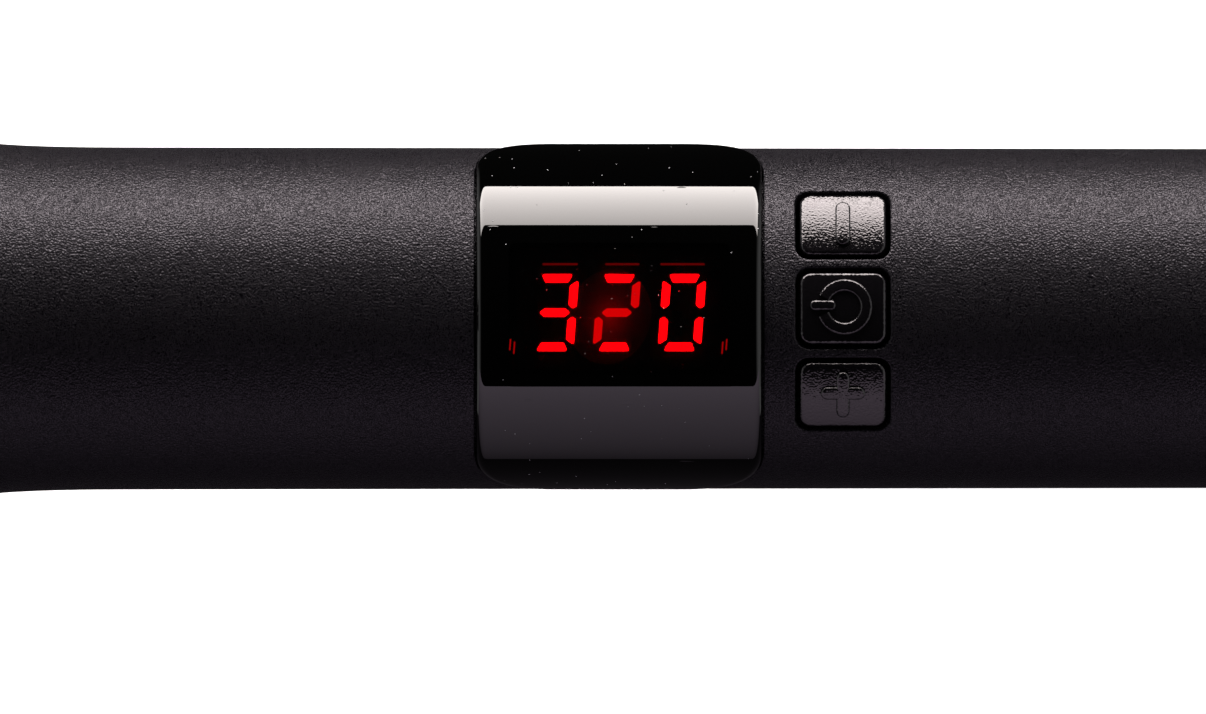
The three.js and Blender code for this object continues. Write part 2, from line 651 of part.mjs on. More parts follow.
// Components that hang under the board.
iron.add(piece("film_capacitor", box([49, 63], [-9.4, -3.0], [-8.5, 2.5]), CAPACITOR));
iron.add(piece("electrolytic_capacitor", bar("x", 50, 62, 4, [6, -1.8], 16), COMPONENT));
iron.add(piece("triac", box([69, 84], [-10, 0], [-2, 2.4]), COMPONENT));
iron.add(piece("microcontroller", box([70, 80], [4, 9.3], [0.6, 2.6]), COMPONENT));
iron.add(piece("fuse", bar("x", 84.6, 92.6, 1.6, [-7, 1]), CERAMIC));

iron.add(piece("swivel_gland", gland(), HEAT_BLACK));
iron.add(piece("slip_ring_live", slipRing(RINGS_AT[0]), BRASS));
iron.add(piece("brush_live", brush(RINGS_AT[0], 1), BRASS));
iron.add(piece("slip_ring_neutral", slipRing(RINGS_AT[1]), BRASS));
iron.add(piece("brush_neutral", brush(RINGS_AT[1], -1), BRASS));
iron.add(piece("live_lead", mainsLead(1), LEAD_RED), piece("neutral_lead", mainsLead(-1), LEAD_WHITE));

iron.add(piece("front_collar", frontCollar(), HEAT_BLACK), piece("barrel", barrel(), COATED));
iron.add(piece("cool_tip", coolTip(), HEAT_BLACK), piece("tip_screw", tipScrew(), STEEL));
iron.add(piece("heater_plate", heaterPlate(), CERAMIC), piece("heater_spring", heaterSpring(), STEEL));
iron.add(piece("heat_spreader_upper", spreader(1), ALUMINIUM));
iron.add(piece("heat_spreader_lower", spreader(-1), ALUMINIUM));
iron.add(piece("thermistor", bar("x", 190, 196, 1.1, [0, 0]), CERAMIC));
iron.add(piece("thermal_fuse", bar("x", 178, 189, 1.9, [0, -7]), ALUMINIUM));
iron.add(piece("heater_lead_a", heaterLead(1), LEAD_WHITE));
iron.add(piece("heater_lead_b", heaterLead(-1), LEAD_WHITE));
iron.add(piece("sensor_lead", sensorLead(), LEAD_WHITE));

iron.add(piece("hinge_band", hingeBand(), STEEL), piece("hinge_pin", hingePin(), STEEL));
BAND_RIVETS_AT.forEach((x, i) => iron.add(piece(`band_rivet_${i + 1}`, bandRivet(x), STEEL)));
iron.add(piece("clamp_spring", clampSpring(), STEEL));
iron.add(piece("clamp_plate", clampPlate(), COATED), piece("clamp_bracket", clampBracket(), STEEL));
CLAMP_RIVETS_AT.forEach((x, i) => iron.add(piece(`clamp_rivet_${i + 1}`, clampRivet(x), STEEL)));
iron.add(piece("thumb_lever", thumbLever(), HEAT_BLACK), piece("lever_screw", leverScrew(), STEEL));

iron.updateMatrixWorld(true);
const table = new THREE.Box3().setFromObject(lowerHandle, true).min.z;
iron.add(piece("stand_wire", standWire(), STEEL), piece("stand_sleeve", standSleeve(table), SILICONE));

// Set down with the middle of its footprint at the origin and the table at Z 0.
const part = new THREE.Group();
part.add(iron);
part.updateMatrixWorld(true);
const extent = new THREE.Box3().setFromObject(iron, true);
const middle = extent.getCenter(new THREE.Vector3());
iron.position.set(-middle.x, -middle.y, -extent.min.z);

export default part;
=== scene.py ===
"""The looks of a curling iron with a digital display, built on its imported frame.

The iron lies tilted on its stand, so its pieces are made in its own frame, in millimetres: u runs along the
barrel from the rear of the handle, v sideways, and w towards the side that the display faces.
"""

import json
from math import asin, atan2, ceil, cos, dist, hypot, pi, radians, sin, sqrt, tan
from types import SimpleNamespace

import bmesh
import bpy
import numpy as np
from mathutils import Matrix, Vector
from mathutils.geometry import delaunay_2d_cdt


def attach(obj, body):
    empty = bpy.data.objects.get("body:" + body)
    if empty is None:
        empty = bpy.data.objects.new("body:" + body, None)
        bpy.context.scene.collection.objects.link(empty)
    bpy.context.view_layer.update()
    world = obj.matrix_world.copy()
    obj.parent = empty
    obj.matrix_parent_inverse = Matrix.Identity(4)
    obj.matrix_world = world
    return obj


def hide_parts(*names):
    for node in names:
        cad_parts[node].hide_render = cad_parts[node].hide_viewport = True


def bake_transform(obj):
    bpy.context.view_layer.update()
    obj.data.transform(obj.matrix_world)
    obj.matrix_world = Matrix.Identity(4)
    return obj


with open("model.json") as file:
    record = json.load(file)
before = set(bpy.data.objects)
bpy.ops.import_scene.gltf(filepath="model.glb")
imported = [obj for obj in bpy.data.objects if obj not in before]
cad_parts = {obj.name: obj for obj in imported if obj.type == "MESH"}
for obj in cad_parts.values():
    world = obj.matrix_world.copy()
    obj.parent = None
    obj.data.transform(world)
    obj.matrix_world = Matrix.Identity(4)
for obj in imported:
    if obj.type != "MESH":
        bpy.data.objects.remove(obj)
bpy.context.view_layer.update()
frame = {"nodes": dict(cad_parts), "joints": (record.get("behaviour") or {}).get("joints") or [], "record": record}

MM = 0.001
BODY_OF = {node: body for body, nodes in frame["record"]["behaviour"]["bodies"].items() for node in nodes}
SLOT_OF = {row["node"]: row["material_slot"] for row in frame["record"]["subparts"]}
JOINT = {joint["name"]: joint for joint in frame["joints"]}

# ---- the iron's own frame

ALONG = Vector(JOINT["gland_swivel"]["axis"]).normalized()
ACROSS = Vector((0, 1, 0))
OUTWARD = ALONG.cross(ACROSS)
IRON = Matrix((ALONG, ACROSS, OUTWARD)).transposed().to_4x4()
IRON.translation = JOINT["gland_swivel"]["pos_m"]


def in_iron(point):
    """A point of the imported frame, in the iron's own."""
    return (IRON.inverted() @ Vector(point)) / MM


def span(node):
    """The lowest and highest corner of a CAD node in the iron's frame."""
    points = [in_iron(v.co) for v in frame["nodes"][node].data.vertices]
    return [Vector(pick(p[i] for p in points) for i in range(3)) for pick in (min, max)]


def ends_of(node):
    """Where a CAD node starts and ends along the iron."""
    return [corner.x for corner in span(node)]


def centre(node):
    low, high = span(node)
    return (low + high) / 2


def reach(node):
    """The largest distance of a CAD node from the iron's axis."""
    return max(hypot(*in_iron(v.co).yz) for v in frame["nodes"][node].data.vertices)


# ---- driving dimensions

HANDLE = SimpleNamespace(radius=16.93, taper=0.0014, flare=2.0, flare_from=122, bore=14.7, lip=0.9)
HANDLE.rear_round, HANDLE.rear_hole = 4.7, 7.6
HANDLE.length = ends_of("upper_shell")[1]
SEAM = 0.06  # half of the gap between the shells

LENS = SimpleNamespace(around=25.2, corner=7.7, inner=16.0, outer=reach("display_lens"), rim=0.95, deep=0.72)
LENS_START, LENS_END = ends_of("display_lens")
LENS.at, LENS.along = (LENS_START + LENS_END) / 2, (LENS_END - LENS_START) / 2
LENS_SEAT = SimpleNamespace(gap=0.15, floor=15.7, fillet=0.15)
WINDOW = (11.0, 6.7)  # half sizes of the lens's clear window
WINDOW_CORNER = 0.8

KEY = SimpleNamespace(along=4.3, around=3.65, corner=1.15, outer=17.12, bottom=14.45, rim=0.42)
KEY.at = centre("power_key").x
KEY_OPENING = SimpleNamespace(gap=0.42, fillet=0.22)
KEY_PITCH = radians(30.7)
SYMBOL_RIM = 0.28

SCREWS_AT = [centre("handle_screw_%d" % i).x for i in (1, 2, 3)]
BOARD_SCREWS_AT = [centre("board_screw_%d" % i).x for i in (1, 2)]
SCREW = SimpleNamespace(seat=-6.0, counterbore=3.2, clearance=1.75, head=2.7, thick=2.0, shank=1.4)
SCREW.top = 8.0
BOARD_LOW = span("control_board")[0].z

BARREL = SimpleNamespace(radius=12.7, wall=0.8)
BARREL.start, BARREL.end = ends_of("barrel")
HINGE = SimpleNamespace(at=centre("hinge_pin").x, high=centre("hinge_pin").z, pin=1.5, hole=1.8)
STAND_TURN = in_iron(JOINT["stand_hinge"]["pos_m"])
STAND_SOCKET = SimpleNamespace(at=STAND_TURN.x, low=STAND_TURN.z)
STAND_FOOT = SimpleNamespace(back=6.8, low=-33.5, half=17.6, wire=1.2)

DIGIT = SimpleNamespace(wide=4.3, high=7.45, pitch=6.33, stroke=0.82, inset=0.58)
DIGIT.lean = tan(radians(4.3))
DIGIT.at = (LENS.at + 0.08, 0.31)  # u and v of the row's middle
LED_RED = (1.0, 0.0002, 0.0012)

# ---- outlines


def rounded(points, radius=0.0, steps=4, closed=True):
    """The outline with its corners rounded; a point can carry its own radius as a third value."""
    made = []
    count = len(points)
    for i, point in enumerate(points):
        here = Vector(point[:2])
        if not closed and i in (0, count - 1):
            made.append(tuple(here))
            continue
        before, after = Vector(points[i - 1][:2]) - here, Vector(points[(i + 1) % count][:2]) - here
        size = point[2] if len(point) > 2 else radius
        half = before.angle(after) / 2
        run = min(size / max(tan(half), 1e-6), 0.48 * before.length, 0.48 * after.length)
        if run < 1e-4 or half > radians(88):
            made.append(tuple(here))
            continue
        start, end = here + before.normalized() * run, here + after.normalized() * run
        for k in range(steps + 1):
            t = k / steps
            made.append(tuple(start * (1 - t) ** 2 + here * 2 * t * (1 - t) + end * t * t))
    return made


def rounded_rectangle(half_a, half_b, corner, steps=6, spacing=1.2):
    """A function of the distance that the outline is moved outwards, which keeps its points' order."""

    def outline(offset=0.0):
        made = []
        turn = corner + offset
        for quarter in range(4):
            centre_a = (half_a - corner) * (1 if quarter in (0, 3) else -1)
            centre_b = (half_b - corner) * (1 if quarter in (0, 1) else -1)
            for k in range(steps + 1):
                angle = pi / 2 * (quarter + k / steps)
                made.append((centre_a + turn * cos(angle), centre_b + turn * sin(angle)))
            straight = 2 * (half_b - corner) if quarter in (1, 3) else 2 * (half_a - corner)
            step_a, step_b = [(-1, 0), (0, -1), (1, 0), (0, 1)][quarter]
            stops = max(1, round(straight / spacing))
            a, b = made[-1]
            runs = [straight * k / stops for k in range(1, stops)]
            made += [(a + step_a * run, b + step_b * run) for run in runs]
        return made

    return outline


def circle(radius, steps, at=(0, 0)):
    def outline(offset=0.0):
        size = radius + offset
        angles = [2 * pi * k / steps for k in range(steps)]
        return [(at[0] + size * cos(a), at[1] + size * sin(a)) for a in angles]

    return outline


def ways_along(line):
    """Which way a line heads at each of its points: from the point before it to the one after."""
    line = [Vector(p) for p in line]
    return [after - before for before, after in zip(line[:1] + line, line[1:] + line[-1:])]


def stroke(line, half, cap):
    """The outline of a band along a line of (a, b) points, with its ends rounded in cap steps."""
    points = [Vector(p) for p in line]

    def outline(offset=0.0):
        size = half + offset
        normals = [Vector((-way.y, way.x)).normalized() for way in ways_along(points)]
        left = [p + n * size for p, n in zip(points, normals)]
        right = [p - n * size for p, n in zip(points, normals)]

        def end(point, normal):
            turn = [Matrix.Rotation(-pi * k / cap, 2) for k in range(1, cap)]
            return [point + (r @ normal) * size for r in turn]

        made = left + end(points[-1], normals[-1]) + right[::-1] + end(points[0], -normals[0])
        return [tuple(p) for p in made]

    return outline


def inside(points, loop):
    """Which of the points lie in a closed loop."""
    ends = np.array(loop)
    starts = np.roll(ends, 1, 0)
    a, b = points[:, :1], points[:, 1:2]
    crossed = (starts[:, 1] > b) != (ends[:, 1] > b)
    rise = ends[:, 1] - starts[:, 1]
    meets = starts[:, 0] + (b - starts[:, 1]) / np.where(rise == 0, 1, rise) * (ends[:, 0] - starts[:, 0])
    return (crossed & (a < meets)).sum(1) % 2 == 1


def nearest(points, loop):
    """How far each point is from a closed loop."""
    ends = np.array(loop)
    starts = np.roll(ends, 1, 0)
    way = ends - starts
    along = ((points[:, None] - starts) * way).sum(2) / np.maximum((way**2).sum(1), 1e-12)
    foot = starts + np.clip(along, 0, 1)[..., None] * way
    return np.linalg.norm(points[:, None] - foot, axis=2).min(1)


def filled(outline, holes, spacing):
    """(points, triangles) between a closed outline and the holes in it, over an even grid."""
    loops = [outline, *holes]
    points, edges = [], []
    for loop in loops:
        start = len(points)
        points += [Vector(p) for p in loop]
        edges += [(start + i, start + (i + 1) % len(loop)) for i in range(len(loop))]
    low, high = np.array(outline).min(0), np.array(outline).max(0)
    counts = [max(2, ceil(size / spacing)) + 1 for size in high - low]
    stops = [np.linspace(*ends) for ends in zip(low, high, counts)]
    grid = np.stack(np.meshgrid(*stops, indexing="ij"), 2).reshape(-1, 2)
    keep = inside(grid, outline)
    for hole in holes:
        keep &= ~inside(grid, hole)
    for loop in loops:
        keep &= nearest(grid, loop) > 0.45 * spacing
    points += [Vector(p) for p in grid[keep]]
    made, _, faces, *_ = delaunay_2d_cdt(points, edges, [], 1, 1e-6)
    centres = np.array([sum((made[i] for i in face), Vector((0, 0))) / len(face) for face in faces])
    solid = inside(centres, outline)
    for hole in holes:
        solid &= ~inside(centres, hole)
    return [tuple(p) for p in made], [tuple(face) for face, kept in zip(faces, solid) if kept]


# ---- shapes


class Shape:
    """Points and faces of one piece, gathered patch by patch and welded at the end."""

    def __init__(self):
        self.points = []
        self.faces = []

    def patch(self, points, faces):
        start = len(self.points)
        self.points += [tuple(p) for p in points]
        self.faces += [tuple(start + i for i in face) for face in faces]
        return self

    def rows(self, rows, loop=True, close=False):
        """Quads between rows. loop joins each row's ends, and close joins the last row to the first."""
        wide = len(rows[0])
        flat = [p for row in rows for p in row]
        faces = []
        for r in range(len(rows) if close else len(rows) - 1):
            below, above = r * wide, (r + 1) % len(rows) * wide
            for i in range(wide if loop else wide - 1):
                j = (i + 1) % wide
                faces.append((below + i, below + j, above + j, above + i))
        return self.patch(flat, faces)

    def cap(self, row):
        return self.patch(row, [tuple(range(len(row)))])

    def face(self, outline, place, height, spacing, holes=()):
        """A face at one height, with an even grid of points in it. place is a function as in plate."""
        points, faces = filled(outline, holes, spacing)
        return self.patch([place(a, b, height) for a, b in points], faces)

    def walls(self, place, rings):
        """Quads between rings, each of them an outline's points and its height."""
        return self.rows([[place(a, b, height) for a, b in ring] for ring, height in rings])

    def tube(self, rows):
        """Rows of points closed with a cap at each end."""
        return self.rows(rows).cap(rows[0]).cap(rows[-1])

    def turned(self, profile, segments, axis=lambda along, a, b: (along, a, b)):
        """A closed profile of (along, radius) turned about an axis."""
        turns = [2 * pi * k / segments for k in range(segments)]
        rows = []
        for along, radius in profile:
            rows.append([axis(along, radius * sin(t), radius * cos(t)) for t in turns])
        return self.rows(rows, close=True)

    def plate(
        self, outline, place, low, high, rim, holes=(), spacing=1.0, steps=4, both=False,
        deep=None, walled=True,
    ):
        """A plate between two heights, with its upper rim rounded, or both rims.

        place turns (a, b, height) into a point, and deep is the rim's height where it isn't the rim's width.
        """
        deep = rim if deep is None else deep
        upper = [(-rim * (1 - cos(t)), high - deep * (1 - sin(t))) for t in quarter_turn(steps)]
        lower = [(offset, low + high - height) for offset, height in upper[::-1]] if both else [(0.0, low)]
        self.walls(place, [(outline(offset), height) for offset, height in lower + upper])
        for hole in holes if walled else ():
            self.walls(place, [(hole(0), height) for height in (low, high)])
        for offset, height in (lower[0], upper[-1]):
            self.face(outline(offset), place, height, spacing, [hole(0) for hole in holes])
        return self


def fixed(points):
    """An outline function for any closed line of points: each of them moves along its own normal."""
    here = [Vector(p) for p in points]
    turn = sum(a.x * b.y - b.x * a.y for a, b in zip(here, here[1:] + here[:1]))
    side = 1 if turn > 0 else -1

    def outline(offset=0.0):
        made = []
        for i, point in enumerate(here):
            way = here[(i + 1) % len(here)] - here[i - 1]
            made.append(tuple(point + Vector((way.y, -way.x)).normalized() * side * offset))
        return made

    return outline


def bent(corners, bend, steps=6):
    """A line through straight runs, with each corner rounded over the bend's length on both sides."""
    corners = [Vector(c) for c in corners]
    line = [corners[0]]
    for before, here, after in zip(corners, corners[1:], corners[2:]):
        ways = (before - here, after - here)
        runs = [way.normalized() * min(bend, 0.45 * way.length) for way in ways]
        for k in range(steps + 1):
            t = k / steps
            line.append(here + runs[0] * (1 - t) ** 2 + runs[1] * t**2)
    return line + [corners[-1]]


def swept(line, section):
    """A section carried along a line of points without twisting, and closed at its ends."""
    ways = [way.normalized() for way in ways_along(line)]
    side = ways[0].orthogonal().normalized()
    rows = []
    for point, way in zip(line, ways):
        side = (side - way * side.dot(way)).normalized()
        up = way.cross(side)
        rows.append([point + side * a + up * b for a, b in section])
    return Shape().tube(rows)


def quarter_turn(steps):
    return [pi / 2 * k / steps for k in range(steps + 1)]


def placed(name, points, faces):
    """A new object in the scene, from points in metres."""
    mesh = bpy.data.meshes.new(name)
    mesh.from_pydata(points, [], faces)
    made = bpy.data.objects.new(name, mesh)
    bpy.context.scene.collection.objects.link(made)
    return made


def finished(name, shape, material, nodes=None, body=None, sharp=40, backing=None, rides=True):
    """Makes the piece from its shape, in place of the CAD nodes that it stands for.

    backing is a second material and a test that says which faces have it, from a face's centre.
    """
    nodes = [name] if nodes is None else nodes
    made = placed(name + "_fine", [IRON @ (Vector(p) * MM) for p in shape.points], shape.faces)
    mesh = made.data
    edit = bmesh.new()
    edit.from_mesh(mesh)
    bmesh.ops.remove_doubles(edit, verts=edit.verts, dist=1.5e-6)
    bmesh.ops.dissolve_degenerate(edit, edges=edit.edges, dist=1e-7)
    open_edges = [e for e in edit.edges if len(e.link_faces) == 1]
    if open_edges:
        bmesh.ops.holes_fill(edit, edges=open_edges, sides=0)
    bmesh.ops.delete(edit, geom=[v for v in edit.verts if not v.link_faces], context="VERTS")
    bmesh.ops.recalc_face_normals(edit, faces=edit.faces)
    edit.to_mesh(mesh)
    edit.free()
    mesh.polygons.foreach_set("use_smooth", [True] * len(mesh.polygons))
    mesh.set_sharp_from_angle(angle=radians(sharp))
    mesh.materials.append(material)
    if backing:
        mesh.materials.append(backing[0])
        for polygon in mesh.polygons:
            polygon.material_index = int(backing[1](in_iron(polygon.center)))
    if rides:
        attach(made, body or BODY_OF[nodes[0]])
    if nodes:
        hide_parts(*nodes)
    return made


def around(reference, centre=0.0, at=0.0):
    """Wraps (u, arc, radius) round the iron's axis; the arc is measured at the reference radius."""

    def place(u, arc, radius):
        angle = centre + arc / reference
        return (at + u, radius * sin(angle), radius * cos(angle))

    return place


# ---- materials

EVEN = (1, 1, 1)
BRUSHED = (0.06, 1, 1)  # long marks that run along the iron
TURNED = (1, 0.05, 0.05)  # fine rings round it


def wired(made, shader, **inputs):
    """Sets a shader node's inputs, each to a value or to another node's output.

    made is the material or world that holds it. An underscore stands for a space in an input's name.
    """
    for name, value in inputs.items():
        socket = shader.inputs[name.replace("_", " ")]
        if isinstance(value, bpy.types.NodeSocket):
            made.node_tree.links.new(value, socket)
        else:
            socket.default_value = value
    return shader


def added(made, kind, **inputs):
    """A new shader node with its inputs set."""
    return wired(made, made.node_tree.nodes.new("ShaderNode" + kind), **inputs)


def shader_of(made):
    return made.node_tree.nodes["Principled BSDF"]


def shaded(made, **inputs):
    wired(made, shader_of(made), **inputs)
    return made


def material(name, color, roughness, metallic=0.0):
    made = bpy.data.materials.new(name)
    made.use_nodes = True
    return shaded(made, Base_Color=(*color, 1), Roughness=roughness, Metallic=metallic, IOR=1.5)


def noise(made, scale, detail, stretch=EVEN):
    """A noise texture in the piece's own coordinates, with its scale in waves for each millimetre."""
    place = added(made, "TexCoord").outputs["Object"]
    place = added(made, "Mapping", Vector=place, Scale=stretch).outputs["Vector"]
    return added(made, "TexNoise", Vector=place, Scale=scale / MM, Detail=detail).outputs["Fac"]


def mapped(made, source, low, high, from_low=0.35, from_high=0.65):
    """A texture's value spread over a range."""
    spread = added(made, "MapRange", Value=source, To_Min=low, To_Max=high)
    return wired(made, spread, From_Min=from_low, From_Max=from_high).outputs["Result"]


def uneven(made, scale, low, high, detail=3.0, stretch=EVEN):
    """Roughness that varies from place to place."""
    return shaded(made, Roughness=mapped(made, noise(made, scale, detail, stretch), low, high))


def bumped(made, height, depth):
    """Adds a bump, with its depth in millimetres, to those that the surface already has."""
    bump = added(made, "Bump", Height=height, Distance=depth * MM)
    normal = shader_of(made).inputs["Normal"]
    if normal.is_linked:
        wired(made, bump, Normal=normal.links[0].from_socket)
    shaded(made, Normal=bump.outputs["Normal"])


def grained(made, layers, detail=3.0):
    """A bumpy surface from layers of (waves for each millimetre, depth in millimetres, stretch)."""
    for scale, depth, stretch in layers:
        bumped(made, noise(made, scale, detail, stretch), depth)
    return made


def tinted(made, level, tint):
    """How strongly a plastic reflects, and the colour that it gives its reflections."""
    return shaded(made, Specular_IOR_Level=level, Specular_Tint=(*tint, 1))


def grip_plastic():
    """Matt moulded plastic with a fine spark-eroded grain."""
    made = tinted(material("grip_plastic", (0.0013, 0.0011, 0.0019), 0.5), 0.245, (1.0, 0.93, 1.05))
    uneven(made, 10.0, 0.12, 0.88, detail=0.0)
    return grained(made, [(5.0, 0.085, EVEN), (0.4, 0.03, EVEN)], detail=0.0)


def key_plastic():
    made = tinted(material("key_plastic", (0.003, 0.0027, 0.0033), 0.15), 0.53, (1.0, 0.95, 0.98))
    uneven(made, 6.0, 0.08, 0.15, detail=0.0)
    return grained(made, [(5.2, 0.034, EVEN)], detail=0.0)


def smoked_plastic():
    made = shaded(material("smoked_plastic", (0.25, 0.22, 0.22), 0.012), Transmission_Weight=1.0)
    dusty(grained(made, [(0.09, 0.012, EVEN)], detail=0.0))
    return made


def specks(made, scale, size):
    """Where dust lies: 1 within a size, in millimetres, of points scattered at scale to the millimetre."""
    place = added(made, "TexCoord").outputs["Object"]
    points = added(made, "TexVoronoi", Vector=place, Scale=scale / MM)
    return mapped(made, points.outputs["Distance"], 1.0, 0.0, 0.6 * size * scale, size * scale)


def dusty(made):
    """Adds dust and hairline scratches to a glossy surface, and returns where the dust lies."""
    scratches = noise(made, 1.0, 1.0, (0.25, 1.3, 0.5))
    dust = specks(made, 0.75, 0.075)
    bumped(made, dust, 0.04)
    bumped(made, mapped(made, scratches, 0.0, 1.0, 0.73, 0.77), 0.004)
    return dust


def glossy_print():
    """The lens where black print backs it: plain gloss black with pale dust on it."""
    black, pale = (0.0003, 0.0003, 0.0003), (0.35, 0.35, 0.37)
    made = grained(material("lens_print", black, 0.012), [(0.09, 0.012, EVEN)], detail=0.0)
    shade = added(made, "Mix")
    shade.data_type = "RGBA"
    wired(made, shade, A=(*black, 1), B=(*pale, 1), Factor=dusty(made))
    return shaded(made, Base_Color=shade.outputs["Result"])


def mottled(made, scale, spread):
    """Base colour that varies a little from place to place, to each side of the shader's own."""
    color = shader_of(made).inputs["Base Color"].default_value[:3]
    ramp = added(made, "ValToRGB", Fac=noise(made, scale, 4.0))
    for element, position, factor in zip(ramp.color_ramp.elements, (0.35, 0.65), (1 - spread, 1 + spread)):
        element.position = position
        element.color = (*[c * factor for c in color], 1)
    return shaded(made, Base_Color=ramp.outputs["Color"])


def moulded(name, color, low, high, waves, depth):
    """A moulded or coated surface: mottled, with uneven gloss and a fine grain."""
    made = mottled(material(name, color, (low + high) / 2), 0.3, 0.12)
    uneven(made, 0.5, low, high)
    return grained(made, [(waves, depth, EVEN), (0.3, 0.02, EVEN)])


def heat_plastic():
    return moulded("heat_plastic", (0.0065, 0.0062, 0.007), 0.34, 0.46, 3.2, 0.05)


def silicone():
    return moulded("silicone", (0.012, 0.012, 0.013), 0.6, 0.8, 2.0, 0.04)


def metal(name, color, low, high):
    """Bright drawn metal with fine marks along it and slightly duller patches."""
    made = mottled(material(name, color, (low + high) / 2, metallic=1.0), 0.25, 0.04)
    uneven(made, 0.8, low, high, stretch=BRUSHED)
    return grained(made, [(4.0, 0.003, BRUSHED), (0.12, 0.002, EVEN)], detail=1.0)


def coated_metal():
    """Dark heat-proof coating over the barrel and the clamp, with a faint turned texture."""
    made = mottled(material("coated_metal", (0.05, 0.05, 0.056), 0.3, metallic=0.7), 0.1, 0.05)
    uneven(made, 0.12, 0.27, 0.34)
    return grained(made, [(4.0, 0.004, TURNED)], detail=1.0)


def glowing(name, strength):
    """The display's red light."""
    made = material(name, (0.1, 0.0, 0.0), 0.5)
    return shaded(made, Emission_Color=(*LED_RED, 1), Emission_Strength=strength)


# ---- handle shells


def handle_radius(u):
    """The outer skin's: nearly even along the grip, and wider towards the collar."""
    run = max(0.0, (u - HANDLE.flare_from) / (HANDLE.length - HANDLE.flare_from))
    return HANDLE.radius + HANDLE.taper * u + HANDLE.flare * run**4


def handle_ends():
    """The wall's profile past each end of the outer skin, round to the inner skin."""
    length, bore, hole, turn = HANDLE.length, HANDLE.bore, HANDLE.rear_hole, HANDLE.rear_round
    flange, groove, neck = span("front_collar")[0].x, 15.7, 14.8  # the front collar's
    centre = handle_radius(turn) - turn
    rear = [(turn - turn * sin(t), centre + turn * cos(t)) for t in quarter_turn(10)]
    # two walls hold the gland's flange between them, and its shaft passes the second
    flange_room, shaft = 12.6, 4.7
    inside = [(2.5, hole), (2.5, flange_room), (6.3, flange_room), (6.3, shaft), (8.2, shaft), (8.2, bore)]
    rear += rounded([rear[-1], (0, hole, 0.5), *inside], closed=False)[1:]
    lip, outer = HANDLE.lip, handle_radius(length)
    start = (length - 2 * lip, handle_radius(length - 2 * lip))
    corner = rounded([start, (length, outer, lip), (length, outer - 3)], lip, 6, closed=False)
    mouth = [(length, neck, 0.3), (flange + 3.3, neck), (flange + 3.3, groove)]
    front = [*corner[:-1], *rounded([corner[-2], *mouth], closed=False)[1:]]
    front += [(flange - 0.3, groove), (flange - 0.3, bore)]
    return rear, front


def moved(outline, at_u, at_arc, offset=0.0):
    """The points of an outline function at a place on the grip."""
    return [(at_u + a, at_arc + b) for a, b in outline(offset)]


def bore_radius(_):
    """The inner skin's, which is the same everywhere."""
    return HANDLE.bore


class Shell(Shape):
    """Half of the handle's wall. Its skins are made last, round the openings that were cut in them."""

    def __init__(self, side):
        super().__init__()
        self.side = side
        self.place = around(HANDLE.radius, 0.0 if side > 0 else pi)
        self.loops = {handle_radius: [], bore_radius: []}

    def opening(self, outline, at_u, at_arc, fillet, floor=None):
        """An opening with a rounded edge, down to a floor or right through."""
        self.loops[handle_radius].append(moved(outline, at_u, at_arc, fillet))
        rings = [(fillet * (1 - sin(t)), fillet * (1 - cos(t))) for t in quarter_turn(5)]
        rows = []
        for offset, deep in rings:
            ring = moved(outline, at_u, at_arc, offset)
            rows.append([self.place(u, arc, handle_radius(u) - deep) for u, arc in ring])
        low = HANDLE.bore if floor is None else floor
        rows.append([self.place(u, arc, low) for u, arc in moved(outline, at_u, at_arc)])
        self.rows(rows)
        if floor is None:
            self.loops[bore_radius].append(moved(outline, at_u, at_arc))

    def column(self, at, rings):
        """Rings of (radius, height, inset) round an upright line. A height that is a skin is followed."""
        rows = []
        for radius, height, inset in rings:
            ring = circle(radius, 32, (at, 0))()
            if height not in self.loops:
                rows.append([(u, v, height) for u, v in ring])
                continue
            if not inset:
                self.loops[height].append([(u, HANDLE.radius * asin(v / height(u))) for u, v in ring])
            rows.append([(u, v, self.side * sqrt((height(u) - inset) ** 2 - v * v)) for u, v in ring])
        self.rows(rows)

    def posts(self, places, radius, end, thread, depth):
        """Posts that stand on the inner skin, each with a blind hole in its end for a screw."""
        for at in places:
            rings = [(radius, bore_radius, 0), (radius, end, 0), (thread, end, 0)]
            self.column(at, [*rings, (thread, end + self.side * depth, 0)])

    def closed(self):
        """Adds the walls at both ends and the two skins, and leaves the seam's sides to be filled."""
        spacing = 1.25
        half = HANDLE.radius * pi / 2 - SEAM
        arcs = list(np.linspace(-half, half, 49))
        rear, front = handle_ends()
        for profile in (rear, front):
            self.rows([[self.place(u, arc, r) for arc in arcs] for u, r in profile], loop=False)
        for skin, end in ((handle_radius, 0), (bore_radius, -1)):
            u0, u1 = rear[end][0], front[end][0]
            stops = list(np.linspace(u0, u1, round((u1 - u0) / spacing) + 1))
            border = [(u0, arc) for arc in arcs] + [(u, half) for u in stops[1:-1]]
            border += [(u1, arc) for arc in arcs[::-1]] + [(u, -half) for u in stops[-2:0:-1]]
            points, faces = filled(border, self.loops[skin], spacing)
            self.patch([self.place(u, arc, skin(u)) for u, arc in points], faces)
        return self


